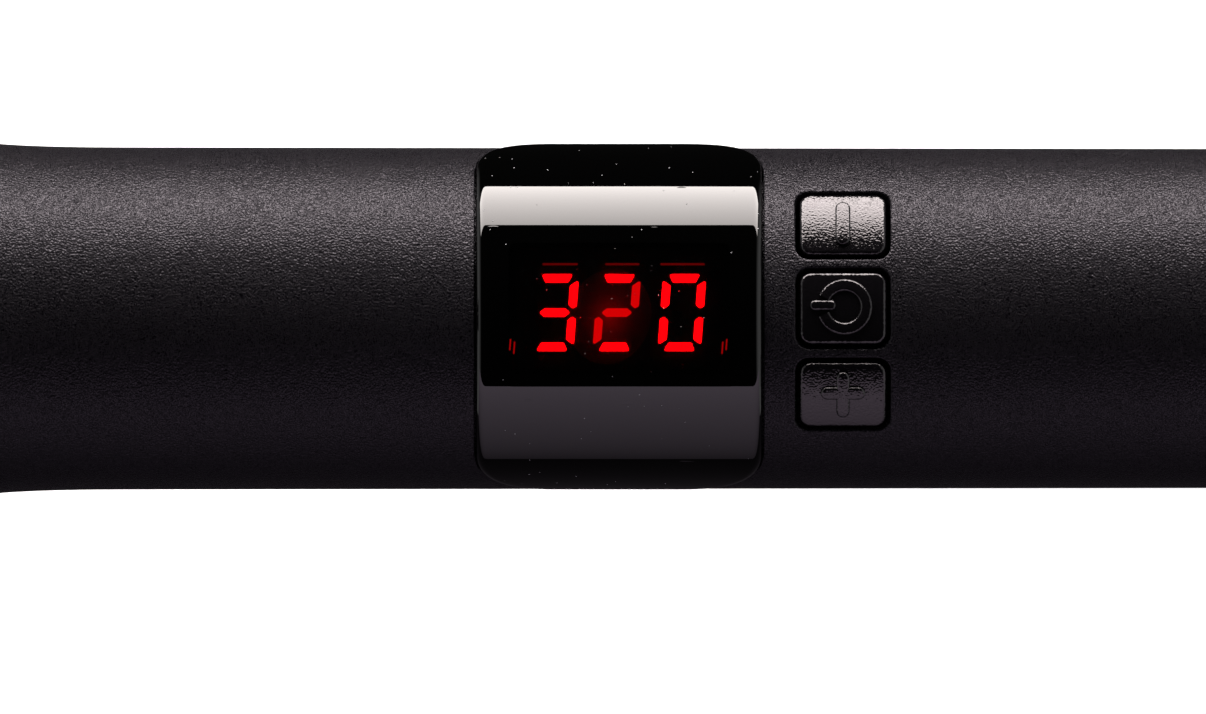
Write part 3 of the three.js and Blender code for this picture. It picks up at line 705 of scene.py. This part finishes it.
def upper_shell():
    """The half with the lens's seat and window, the keys' openings and the screws' bosses."""
    made = Shell(1)
    gap, floor = LENS_SEAT.gap, LENS_SEAT.floor
    half_arc = (LENS.around + gap) * HANDLE.radius / LENS.outer
    seat = rounded_rectangle(LENS.along + gap, half_arc, LENS.corner)
    made.opening(seat, LENS.at, 0, LENS_SEAT.fillet, floor)
    window = rounded_rectangle(WINDOW[0] + 0.2, WINDOW[1] + 0.2, WINDOW_CORNER)
    hole = moved(window, LENS.at, 0)
    made.face(moved(seat, LENS.at, 0), made.place, floor, 1.5, [hole])
    made.walls(made.place, [(hole, radius) for radius in (floor, HANDLE.bore)])
    made.loops[bore_radius].append(hole)
    gap = KEY_OPENING.gap
    key = rounded_rectangle(KEY.along + gap, KEY.around + gap, KEY.corner + 0.2, spacing=0.6)
    for i in (-1, 0, 1):
        made.opening(key, KEY.at, i * KEY_PITCH * HANDLE.radius, KEY_OPENING.fillet)
    made.posts(SCREWS_AT, radius=3.4, end=1.0, thread=1.7, depth=9.0)
    return made.closed()


def lower_shell():
    """The half with the screws' counterbores and the board's posts."""
    made = Shell(-1)
    wide, narrow, seat = SCREW.counterbore, SCREW.clearance, SCREW.seat
    boss, top, fillet = 4.6, -0.6, 0.3
    for at in SCREWS_AT:
        rings = [(wide + fillet, handle_radius, 0), (wide, handle_radius, fillet), (wide, seat, 0)]
        rings += [(narrow, seat, 0), (narrow, top, 0), (boss, top, 0), (boss, bore_radius, 0)]
        made.column(at, rings)
    made.posts(BOARD_SCREWS_AT, radius=2.6, end=BOARD_LOW - 0.1, thread=1.3, depth=8.0)
    return made.closed()


# ---- lens and display

WINDOW_EDGE = rounded_rectangle(*WINDOW, WINDOW_CORNER, spacing=0.7)()


def lens():
    """A plate wrapped round the grip, whose faces are divided along the edge of its clear window."""
    outline = rounded_rectangle(LENS.along, LENS.around, LENS.corner, steps=16, spacing=0.7)
    place = around(LENS.outer, at=LENS.at)
    sizes = {"rim": LENS.rim, "deep": LENS.deep, "spacing": 0.7, "steps": 8, "walled": False}
    sizes["holes"] = [lambda _: WINDOW_EDGE]
    shape = Shape().plate(outline, place, LENS.inner, LENS.outer, **sizes)
    for radius in (LENS.inner, LENS.outer):
        shape.face(WINDOW_EDGE, place, radius, 0.7)
    return shape


def printed(point):
    """Whether a place on the lens has its black print, which leaves only the window clear."""
    arc = atan2(point.y, point.z) * LENS.outer
    return not inside(np.array([[point.x - LENS.at, arc]]), WINDOW_EDGE)[0]


SEGMENTS = {
    "3": "top upper_right middle lower_right bottom",
    "2": "top upper_right middle lower_left bottom",
    "0": "top upper_right lower_right bottom lower_left upper_left",
}


def segment(name):
    """One bar of a digit, as (x, y) with x to the right and y up, from the digit's centre.

    a and b are half the digit's width and height, and t is the bars' thickness.
    """
    a, b, t, inset = DIGIT.wide / 2, DIGIT.high / 2, DIGIT.stroke, DIGIT.inset
    top = [(-a + inset, b), (a - inset, b), (a - t - 0.2, b - t), (-a + t + 0.2, b - t)]
    side = [(a, b - inset), (a - t, b - t - 0.3), (a - t, t / 2 + 0.35), (a - 0.5 * t, 0.4), (a, 0.6)]
    tip, shoulder = a - 0.5 * t - 0.17, a - t - 0.32
    middle = [(-tip, 0), (-shoulder, t / 2), (shoulder, t / 2), (tip, 0)]
    middle += [(shoulder, -t / 2), (-shoulder, -t / 2)]
    flip_x, flip_y = "left" in name, "lower" in name or name == "bottom"
    bar = {"top": top, "bottom": top, "middle": middle}.get(name, side)
    return [(-x if flip_x else x, -y if flip_y else y) for x, y in bar]


def on_display(outline, x, y, low, high):
    """Places an outline of (x, y) on the display; its digits read against u with their tops towards -v."""
    face = span("led_display")[1].z
    middle_u, middle_v = DIGIT.at
    spots = [(middle_u - x - a - b * DIGIT.lean, middle_v - y - b) for a, b in outline]
    return [[(u, v, face + level) for u, v in spots] for level in (low, high)]


def lit(name, shape, finish):
    """A shape that glows on the display."""
    made = finished(name, shape, finish, nodes=[], body="iron_body")


def display():
    """The three digits, and painted reflections of them: faint glowing lines over them and glowing streaks beside
    them.
    """
    bright, dim = glowing("led_bright", 14.0), glowing("led_dim", 2.8)
    # painted reflections: glowing lines stand in for the digits' reflection in the housing, and glowing streaks
    # for glints at the window's corners
    painted_reflection, painted_glint = glowing("led_painted_reflection", 0.4), glowing("led_painted_glint", 1.4)
    for index, figure in enumerate("320"):
        x = (index - 1) * DIGIT.pitch - (0.15 if index == 1 else 0)
        for name in SEGMENTS[figure].split():
            weak = figure == "2" and name in ("upper_right", "lower_left", "middle")
            bar = on_display(rounded(segment(name), 0.2, 3), x, 0, 0.05, 0.12)
            lit(f"digit_{figure}_{name}", Shape().tube(bar), dim if weak else bright)
        # a faint glowing line over each digit, a painted reflection of its top bar
        half, over = [(1.75, 0.55), (1.7, 0.55), (2.2, 0.05)][index]
        line = rounded_rectangle(half, 0.1, 0.08, 3)()
        line = on_display(line, x + over, DIGIT.high / 2 + 0.95, 0.05, 0.08)
        lit(f"digit_{figure}_stray_line", Shape().tube(line), painted_reflection)
    # two glowing streaks by each lower corner of the window, painted glints
    for side, word in ((-1, "left"), (1, "right")):
        painted_glints = Shape()
        for far, half, low in ((10.35, 0.6, -3.4), (10.75, 0.55, -3.1)):
            painted_glints.tube(on_display(rounded_rectangle(0.07, half, 0.06, 3)(), side * far, low, 0.05, 0.08))
        lit(f"stray_streaks_{word}", painted_glints, painted_glint)
    halo()


def halo():
    """Light that leaks round the middle digit's weak bars: flat rings, dimmer towards the outside."""
    rings, wide, high = 20, 4.2, 4.6
    turns = [2 * pi * i / 48 for i in range(48)]
    for k in range(rings):
        strength = 0.5 * (1 - (k + 0.5) / rings) ** 3
        edges = [[(wide * j / rings * cos(t), high * j / rings * sin(t)) for t in turns] for j in (k, k + 1)]
        inner, outer = (on_display(edge, -0.9, -0.4, 0.01, 0.03) for edge in edges)
        shape = Shape().rows([*inner, *outer[::-1]], close=True)
        lit(f"digit_2_halo_{k + 1}", shape, glowing(f"led_halo_{k + 1}", strength))


# ---- keys


def arc_line(centre, radius, start, end):
    steps = 28
    angles = [start + (end - start) * k / steps for k in range(steps + 1)]
    return [(centre[0] + radius * cos(a), centre[1] + radius * sin(a)) for a in angles]


KEY_SYMBOLS = {  # each key's raised bands: (line of (u, arc) points, half width, height, steps round an end)
    "minus": [([(0, -1.5), (0, 1.95)], 0.76, 0.44, 8)],
    "power": [
        (arc_line((-0.14, -0.12), 2.18, 0.36, 2 * pi - 0.42), 0.6, 0.3, 1),
        ([(1.2, -0.27), (2.82, -0.27)], 0.5, 0.36, 8),
    ],
    "plus": [([(-1.55, -0.5), (1.55, -0.5)], 0.68, 0.38, 8), ([(0, -2.15), (0, 1.5)], 0.66, 0.48, 8)],
}


def key(name, centre):
    """A key with its raised symbol, bent to the grip's curve."""
    outline = rounded_rectangle(KEY.along, KEY.around, KEY.corner, spacing=0.4)
    place, face = around(KEY.outer, centre, KEY.at), KEY.outer
    shape = Shape().plate(outline, place, KEY.bottom, face, KEY.rim, spacing=0.4, steps=6)
    for line, half, height, ends in KEY_SYMBOLS[name]:
        shape.plate(stroke(line, half, ends), place, face - 0.3, face + height, SYMBOL_RIM, (), 0.3, 6)
    return shape


# ---- cord gland, collar, barrel and tip


def swivel_gland():
    """The cord's swivel: a flange held in the handle, and a ribbed cone outside it with the cord's inlet."""
    inside = [(20.8, 0), (20.8, 4.2, 0.5), (6, 4.2), (6, 9, 0.4), (2.8, 9, 0.4), (2.8, 7.2), (-0.6, 7.2)]
    cone = [(-0.6, 9.6, 0.5), (-2, 10, 0.8)]
    for k in range(5):
        at = -5.0 - 2.6 * k
        radius = 9.1 - 0.72 * k
        cone += [(at + 0.9, radius, 0.5), (at + 0.2, radius - 0.75, 0.3), (at - 0.8, radius - 0.8, 0.3)]
    end = [(-19.4, 5.6, 0.6), (-20, 5.2, 0.5), (-20, 3.8, 0.4), (-4, 3.8), (-4, 0)]
    return Shape().turned(rounded([*inside, *cone, *end], closed=False), 72)


def front_collar():
    """A flange held in the handle, a step against its mouth, and three fine grooves."""
    profile = [(143.6, 13, 0.3), (143.6, 15.4, 0.3), (146.6, 15.4, 0.3), (146.6, 14.5), (150.3, 14.5)]
    profile += [(150.3, 16.4, 0.5), (151.2, 16.9, 0.8), (154, 16.75, 3)]
    for k in range(3):
        at = 155.4 + 2.2 * k
        profile += [(at, 16.72, 0.2), (at + 0.25, 16.3, 0.2), (at + 0.65, 16.3, 0.2), (at + 0.9, 16.66, 0.2)]
    profile += [(163.2, 16.3, 2.0), (166.4, 15.0, 0.7), (167, 14.3, 0.3), (167, 13, 0.2)]
    return Shape().turned(rounded(profile), 128)


def barrel():
    start, end, outer = BARREL.start, BARREL.end, BARREL.radius
    inner = outer - BARREL.wall
    profile = [(start, inner), (start, outer, 0.2)]
    profile += [(u, outer) for u in np.linspace(start, end, 30)[1:-1]]
    profile += [(end, outer, 0.25), (end, inner)]
    return Shape().turned(rounded(profile, steps=3), 128)


def cool_tip():
    """A hollow moulded cap with grip grooves; its nose is a flattened dome."""
    shoulder, end, radius, flat = BARREL.end + 0.3, span("cool_tip")[1].x, BARREL.radius, 4.7
    profile = [(shoulder - 9, 9.9), (shoulder - 9, 11.5, 0.5), (shoulder, 11.5), (shoulder, radius, 0.35)]
    for k in range(3):
        at = shoulder + 3.0 + 2.0 * k
        profile += [(at, radius, 0.25), (at + 0.3, radius - 0.45, 0.2)]
        profile += [(at + 0.7, radius - 0.45, 0.2), (at + 1, radius, 0.25)]
    start = shoulder + 9.5
    steps = 24
    for k in range(steps + 1):
        t = sin(pi / 2 * k / steps)
        profile.append((start + (end - start) * t, flat + (radius - flat) * sqrt(max(0.0, 1 - t**2.6))))
    profile += [(end, 0), (end - 2.4, 0), (end - 2.4, flat), (end - 8, 8.9)]
    return Shape().turned(rounded(profile), 128)


# ---- fasteners


def cross(arm, half):
    """A cross's outline, from the length and half width of its arms."""
    corners = [(arm, half), (half, half), (half, arm), (-half, arm), (-half, half), (-arm, half)]
    return [*corners, *[(-a, -b) for a, b in corners]]


def screw(node, seat, way, head, thick, shank, length, deep):
    """A pan-head screw with a cross recess. Its head points up (1) or down (-1) from its seat."""
    at = centre(node).x

    def place(a, b, high):
        return (at + a, b * way, seat + high * way)

    rim = 0.4 * thick
    rings = [(0.35 * shank, -length), (shank, 1.5 * shank - length)]
    turns = int((length - 2.5 * shank) / 1.1)
    for k in range(turns):
        low, root = 1.5 * shank - length + 1.1 * k, 0.86 * shank
        rings += [(root, low + 0.25), (root, low + 0.5), (shank, low + 0.75), (shank, low + 0.9)]
    rings += [(shank, 0), (head, 0)]
    rings += [(head - rim * (1 - cos(t)), thick - rim * (1 - sin(t))) for t in quarter_turn(5)]
    shape = Shape().walls(place, [(circle(radius, 40)(), high) for radius, high in rings])
    recess = rounded(cross(0.6 * head, 0.15 * head), 0.05 * head, 2)
    shape.face(circle(head - rim, 40)(), place, thick, 0.4, [recess])
    floor = [(0.85 * a, 0.85 * b) for a, b in recess]
    shape.walls(place, [(recess, thick), (floor, thick - deep)])
    finished(node, shape.face(floor, place, thick - deep, 0.4), STEEL)


def rivet(at, foot, seat, top):
    """A round-headed rivet that stands on its seat, pointing outwards."""
    head, shank = 1.7, 0.8
    dome = [(seat + (top - seat) * sin(t), head * cos(t) ** 0.8) for t in quarter_turn(10)]
    profile = [(foot, 0), (foot, shank), (seat, shank), *dome[:-1], (top, 0)]
    return Shape().turned(profile, 32, lambda along, a, b: (at + a, b, along))


def hinge_pin():
    """The clamp's pin, with a domed head at each end."""
    half, head, pin = 9.5, 2.3, HINGE.pin
    dome = [(half - 0.9 + 0.9 * sin(t), head * cos(t) ** 0.6) for t in quarter_turn(8)]
    side = [(half - 0.9, pin), *dome[:-1], (half, 0)]
    profile = [(-v, r) for v, r in side[::-1]] + side
    return Shape().turned(profile, 40, lambda along, a, b: (HINGE.at + a, along, HINGE.high + b))


# ---- clamp

PIN_HOLE = circle(HINGE.hole, 32, (HINGE.at, HINGE.high))


def upright(side, at=0.0, high=0.0):
    """Places (along, up, out) beside the iron, where side is -1 or 1."""
    return lambda a, b, out: (at + a, side * out, high + b)


def hinge_band():
    """A band round the barrel: ears for the clamp's pin, and a socket and a stop for each leg."""
    low, high = ends_of("hinge_band")
    inner, outer = 12.95, 13.9
    lips = [(low + 1.2, outer, 0.3), (low + 1.5, outer - 0.25, 0.2)]
    lips += [(high - 1.5, outer - 0.25, 0.2), (high - 1.2, outer, 0.3)]
    ring = [(low, inner), (low, outer, 0.3), *lips, (high, outer, 0.3), (high, inner)]
    shape = Shape().turned(rounded(ring), 128)
    flank = [(6, 12.2, 0.3), (4.8, 15.5, 2), (3.0, 21.4, 2.8)]
    ear = [(HINGE.at + a, b, r) for a, b, r in flank]
    ear += [(HINGE.at - a, b, r) for a, b, r in flank[::-1]]
    ear = fixed(rounded(ear, steps=6))
    socket = rounded([(12.9, 1.5), (12.9, 3), (15.4, 3, 0.5), (15.4, 1.5, 0.2)])
    tab, tab_at, tab_high = rounded_rectangle(1.0, 1.3, 0.5, 4, 0.6), 177, -8.9
    for side in (-1, 1):
        shape.plate(ear, upright(side), 5.0, 6.2, 0.25, [PIN_HOLE], both=True)
        place = upright(side, STAND_SOCKET.at, STAND_SOCKET.low)
        shape.turned(socket, 40, lambda out, a, b: place(a, b, out))
        shape.plate(tab, upright(side, tab_at, tab_high), 10.2, 18.3, 0.3, spacing=0.8, both=True)
    return shape


def clamp_spring():
    """A torsion spring: in along the barrel, round the pin, and back under the bracket."""
    at, high, coil, half = HINGE.at, HINGE.high, 2.75, 3.5
    turns, steps = 5.25, 24
    line = [Vector((at + 7.3, -half, high - coil)), Vector((at + 3.5, -half, high - coil))]
    for k in range(round(turns * steps) + 1):
        angle = 2 * pi * k / steps
        side = -half + 2 * half * k / (turns * steps)
        line.append(Vector((at - coil * sin(angle), side, high - coil * cos(angle))))
    corner = line[-1]
    leg = [corner + Vector((0, 0, 0.2)), corner + Vector((-0.1, 0, coil)), (at - 13, half, high + coil)]
    return swept(line + bent(leg, 1.6), circle(0.58, 12)())


def clamp_plate():
    """The curved sheet that closes on the barrel."""
    low, high = ends_of("clamp_plate")
    inner, outer = 13.1, 13.8
    half_turn = radians(48)
    outline = rounded_rectangle((high - low) / 2, half_turn * outer, 8, 12, 1.5)
    return Shape().plate(outline, around(outer, at=(low + high) / 2), inner, outer, 0.28, (), 1.5, 4, True)


def clamp_bracket():
    """Bent sheet with a cheek at each side. It carries the plate before the pin and the lever behind it."""
    path = [(158, 25.4), (168, 23.6, 6), (180, 22.9, 3), (184, 20.4, 3)]
    path += [(188.5, 14.6, 2.2), (190.5, 14.3, 2), (205, 14.3)]
    line = []
    corners = rounded(path, steps=6, closed=False)
    for start, end in zip(corners, corners[1:]):
        pieces = max(1, round(dist(start, end) / 0.8))
        line += [tuple(Vector(start).lerp(Vector(end), k / pieces)) for k in range(pieces)]
    line.append(corners[-1])
    rows = []
    for (u, w), way in zip(line, ways_along(line)):
        out = Vector((-way.y, way.x)).normalized()
        # half the sheet's width: more between the cheeks, and less at its two tips
        cheeks = smooth((u - 165) / 4) - smooth((u - 181) / 4)
        tips = smooth((u - 201) / 4) ** 3 + smooth((162 - u) / 4) ** 3
        half = 6 + 2 * cheeks - 2.5 * tips
        section = rounded([(-half, 0, 0.25), (half, 0, 0.25), (half, 1, 0.25), (-half, 1, 0.25)], steps=3)
        rows.append([(u + out.x * deep, v, w + out.y * deep) for v, deep in section])
    shape = Shape().tube(rows)
    cheek = [(168.6, 23.9, 0.8), (170.5, 17.5, 2), (174, 15.6, 2.5), (178, 15.6, 2.5)]
    cheek += [(181.5, 18.5, 2), (183.2, 21.6, 0.8), (180.4, 23.3, 1)]
    cheek = fixed(rounded(cheek, steps=5))
    for side in (-1, 1):
        shape.plate(cheek, upright(side), 6.9, 8.0, 0.25, [PIN_HOLE], both=True)
    return shape


def smooth(t):
    """From 0 to 1, level at both ends."""
    t = min(1.0, max(0.0, t))
    return t * t * (3 - 2 * t)


def thumb_lever():
    """A moulded lever, dished along its top, with ribs for the thumb and a rounded tail."""
    low, high = ends_of("thumb_lever")
    half, turn = 8.5, 7.0
    crest = [(0, 32.6), (1.2, 33.7), (4, 34.15), (9, 32.9), (15, 31.2)]
    crest += [(22, 29.6), (30, 28.2), (37, 27.0), (41, 25.9), (42.5, 24.9)]
    under = [(0, 31.7), (4, 30.7), (16.5, 26.8), (26.5, 25.0), (42.5, 24.25)]
    length, tail, rib_high, rib_pitch = high - low, 1.5, 0.22, 1.6
    rows = []
    stops = 190
    for k in range(stops + 1):
        far = length * k / stops
        wide = half - turn + sqrt(turn**2 - max(0.0, turn - far) ** 2) if far < turn else half
        wide -= 1 - sqrt(max(0.0, 1 - max(0.0, (far - length + tail) / tail) ** 2))
        top, bottom = eased(crest, far), eased(under, far)
        ribs = smooth((far - 3.5) / 1.5) * smooth((18.5 - far) / 1.5)
        ribs *= rib_high * cos(2 * pi * far / rib_pitch)
        dish = 0.75 * smooth(far / 4) * smooth((36 - far) / 12)
        edge = min(1.3, 0.45 * (top - bottom), 0.8 * wide)
        row = [(-wide + 0.3, bottom), (wide - 0.3, bottom), (wide, bottom + 0.3)]
        row += [(wide - edge * (1 - cos(t)), top - edge * (1 - sin(t))) for t in quarter_turn(4)]
        across = wide - edge
        for j in range(1, 15):
            v = across * (1 - 2 * j / 15)
            hollow = 1 - (v / across) ** 2
            row.append((v, top - dish * hollow + ribs * min(1.0, 3 * hollow)))
        row += [(-v, w) for v, w in row[2:8][::-1]]
        rows.append([(low + far, v, w) for v, w in row])
    return Shape().tube(rows)


def eased(points, x):
    """A smooth curve through points, read at x."""
    xs = [p[0] for p in points]
    slopes = []
    for i in range(len(points)):
        before, after = points[max(i - 1, 0)], points[min(i + 1, len(points) - 1)]
        slopes.append((after[1] - before[1]) / (after[0] - before[0]))
    i = max(k for k in range(len(points) - 1) if xs[k] <= x + 1e-9)
    span_x = xs[i + 1] - xs[i]
    t = (x - xs[i]) / span_x
    start, end = points[i][1], points[i + 1][1]
    turn = t * (1 - t)
    bulge = turn * (1 - t) * slopes[i] * span_x - turn * t * slopes[i + 1] * span_x
    return start + (end - start) * smooth(t) + bulge


# ---- stand


def stand_wire():
    """One bent wire: from a socket down to the foot, across it, and up to the other socket."""
    at, low = STAND_SOCKET.at, STAND_SOCKET.low
    half, foot, radius = STAND_FOOT.half, at - STAND_FOOT.back, STAND_FOOT.wire
    side = [(at, 14.0, low), (at, half - 0.6, low), (foot, half, STAND_FOOT.low)]
    other = [(u, -v, w) for u, v, w in side[::-1]]
    return swept(bent([*side, *other], 3.0, 8), circle(radius, 20)())


def stand_sleeve():
    """A soft sleeve on the crossbar, with a flat sole on the table."""
    half, radius, wire = 14.0, 2.5, STAND_FOOT.wire + 0.15
    foot = Vector((STAND_SOCKET.at - STAND_FOOT.back, 0, STAND_FOOT.low))
    tall = (IRON @ (foot * MM)).z / MM
    down = IRON.inverted().to_3x3() @ Vector((0, 0, -1))
    level = Vector((-down.z, 0, down.x))
    section = [(radius, tall, 0.6), (-radius, tall, 0.6)]
    section += [(-radius * cos(a), -radius * sin(a)) for a in np.linspace(0, pi, 19)]
    outline = fixed(rounded(section, steps=5)[::-1])

    def place(a, b, v):
        spot = foot + level * a + down * b
        return (spot.x, v, spot.z)

    return Shape().plate(outline, place, -half, half, 0.5, [circle(wire, 24)], 0.8, 4, True)


# ---- build

GRIP = grip_plastic()
for make in (upper_shell, lower_shell):
    finished(make.__name__, make(), GRIP)
finished("display_lens", lens(), smoked_plastic(), backing=(glossy_print(), printed))
display()
KEYS = key_plastic()
for index, key_name in enumerate(("minus", "power", "plus")):
    finished(f"{key_name}_key", key(key_name, (index - 1) * KEY_PITCH), KEYS)

HEAT_PLASTIC = heat_plastic()
COATED = coated_metal()
STEEL = metal("steel", (0.56, 0.565, 0.58), 0.26, 0.38)
for make in (swivel_gland, front_collar, cool_tip):
    finished(make.__name__, make(), HEAT_PLASTIC, sharp=35)
finished("thumb_lever", thumb_lever(), HEAT_PLASTIC, sharp=50)
for make in (barrel, clamp_plate):
    finished(make.__name__, make(), COATED)
for make in (hinge_band, hinge_pin, clamp_bracket, stand_wire):
    finished(make.__name__, make(), STEEL)
finished("stand_sleeve", stand_sleeve(), silicone())
for node in ("band_rivet_1", "band_rivet_2", "clamp_rivet_1", "clamp_rivet_2"):
    foot, top = span(node)
    finished(node, rivet(centre(node).x, foot.z, top.z - 0.8, top.z), STEEL)
for node in ("handle_screw_1", "handle_screw_2", "handle_screw_3"):
    seat = SCREW.seat - 0.1
    screw(node, seat, -1, SCREW.head, SCREW.thick, SCREW.shank, SCREW.top - seat, 1.2)
for node in ("board_screw_1", "board_screw_2"):
    foot, top = span(node)
    seat = top.z - 1.3
    screw(node, seat, 1, 2.2, 1.3, 1.0, seat - foot.z, 0.8)
screw("tip_screw", span("tip_screw")[0].z + 0.55, -1, 2.0, 0.55, 1.05, 3.8, 0.4)
screw("lever_screw", span("lever_screw")[0].z + 1.8, -1, 2.1, 1.8, 0.85, 3.2, 0.9)
spring = finished("clamp_spring", clamp_spring(), STEEL, rides=False)
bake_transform(spring)

FINISH = {
    "steel": STEEL,
    "board": moulded("board_laminate", (0.012, 0.085, 0.035), 0.3, 0.5, 1.2, 0.01),
    "component": moulded("component_black", (0.012, 0.012, 0.013), 0.35, 0.5, 3.0, 0.02),
    "capacitor": moulded("capacitor_yellow", (0.55, 0.33, 0.05), 0.25, 0.4, 0.8, 0.03),
    "ceramic": moulded("ceramic_white", (0.72, 0.68, 0.6), 0.45, 0.7, 2.5, 0.03),
    "brass": metal("brass", (0.78, 0.52, 0.18), 0.22, 0.4),
    "aluminium": metal("aluminium", (0.7, 0.71, 0.73), 0.3, 0.5),
    "red_lead": moulded("lead_red", (0.42, 0.02, 0.015), 0.4, 0.6, 2.0, 0.02),
    "white_lead": moulded("lead_white", (0.62, 0.6, 0.55), 0.4, 0.6, 2.0, 0.02),
    "led": moulded("display_face", (0.006, 0.002, 0.002), 0.25, 0.4, 1.5, 0.01),
}
for node, slot_name in SLOT_OF.items():
    if slot_name in FINISH:
        carried = frame["nodes"][node]
        for material_slot in carried.material_slots:
            material_slot.link = "OBJECT"
            material_slot.material = FINISH[slot_name]

# ---- studio

VIEW_TILT = radians(3.4)  # the camera stands a little round the handle from the display's own direction
VIEW_WIDTH = 120.6
VIEW_CENTRE_U = 79.6
VIEW_BELOW = 3.85  # the handle's axis is this far above the middle of the picture
VIEW_DISTANCE = 2500
SENSOR = 36


def towards(angle):
    """A direction across the iron, at an angle from the camera's towards the top of the picture."""
    turn = VIEW_TILT - angle
    return Vector((0, sin(turn), cos(turn)))


def camera():
    """The scene's camera: far off, and square on to the handle."""
    data = bpy.data.cameras.new("camera")
    data.sensor_width = SENSOR
    data.lens = SENSOR * VIEW_DISTANCE / VIEW_WIDTH
    made = bpy.data.objects.new("camera", data)
    bpy.context.scene.collection.objects.link(made)
    back, upwards = towards(0), towards(pi / 2)
    right = upwards.cross(back)
    spot = Vector((VIEW_CENTRE_U, 0, 0)) + back * VIEW_DISTANCE - upwards * VIEW_BELOW
    pose = Matrix((right, upwards, back)).transposed().to_4x4()
    pose.translation = spot * MM
    made.matrix_world = IRON @ pose
    bpy.context.scene.camera = made


def softbox(name, start, end, distance, half_length, strengths, color):
    """A glowing card along the iron, across the angles from start to end, in degrees from the camera."""
    stops = 16
    corners = [towards(radians(a)) * distance for a in (start, end)]
    points, faces = [], []
    for k in range(stops + 1):
        spot = corners[0].lerp(corners[1], k / stops)
        points += [(VIEW_CENTRE_U + way * half_length, spot.y, spot.z) for way in (-1, 1)]
    for k in range(stops):
        faces.append((2 * k, 2 * k + 1, 2 * k + 3, 2 * k + 2))
    made = placed(name, [Vector(p) * MM for p in points], faces)
    made.matrix_world = IRON
    shine = bpy.data.materials.new(name)
    shine.use_nodes = True
    shine.node_tree.nodes.clear()
    level = made.data.attributes.new("level", "FLOAT", "POINT")
    values = [strengths[0] + (strengths[1] - strengths[0]) * (i // 2) / stops for i in range(len(points))]
    level.data.foreach_set("value", values)
    read = added(shine, "Attribute")
    read.attribute_name = "level"
    light = added(shine, "Emission", Color=(*color, 1), Strength=read.outputs["Fac"])
    added(shine, "OutputMaterial", Surface=light.outputs["Emission"])
    made.data.materials.append(shine)
    made.visible_camera = False
    made.visible_shadow = False
    made.visible_transmission = False
    return made


def floor():
    """A white table that the camera sees and the iron doesn't reflect."""
    size = 3.0
    corners = [(-size, -size, 0), (size, -size, 0), (size, size, 0), (-size, size, 0)]
    made = placed("floor", corners, [(0, 1, 2, 3)])
    white = material("floor_white", (0.9, 0.9, 0.9), 0.9)
    shaded(white, Specular_IOR_Level=0.0, Emission_Color=(1, 1, 1, 1), Emission_Strength=0.86)
    made.data.materials.append(white)
    made.visible_glossy = False
    made.visible_diffuse = False


def reckoned(made, operation, *values):
    """What a math node makes of other nodes' outputs."""
    step = added(made, "Math")
    step.operation = operation
    for socket, value in zip(step.inputs, values):
        made.node_tree.links.new(value, socket)
    return step.outputs["Value"]


def surroundings():
    """Soft light from both ends of the iron, dark across it, and plain white where the camera sees it."""
    world = bpy.data.worlds.new("studio")
    bpy.context.scene.world = world
    world.use_nodes = True
    way = added(world, "SeparateXYZ", Vector=added(world, "TexCoord").outputs["Generated"])
    soft = mapped(world, reckoned(world, "ABSOLUTE", way.outputs["X"]), 0.0055, 0.75, 0.5, 0.9)
    soft.node.interpolation_type = "SMOOTHSTEP"
    seen = added(world, "LightPath").outputs["Is Camera Ray"]
    background = world.node_tree.nodes["Background"]
    wired(world, background, Color=(1, 1, 1, 1), Strength=reckoned(world, "MAXIMUM", soft, seen))


camera()
floor()
surroundings()
softbox("strip_light", 62.5, 94.8, 380, 300, (9.8, 18.0), (1.0, 0.93, 0.9))
softbox("side_card", -44, -103, 300, 420, (1.05, 0.14), (1.0, 0.83, 1.02))
softbox("under_card", -103, -165, 300, 420, (0.02, 0.05), (1.0, 0.85, 1.0))
bpy.context.scene.view_settings.view_transform = "Standard"
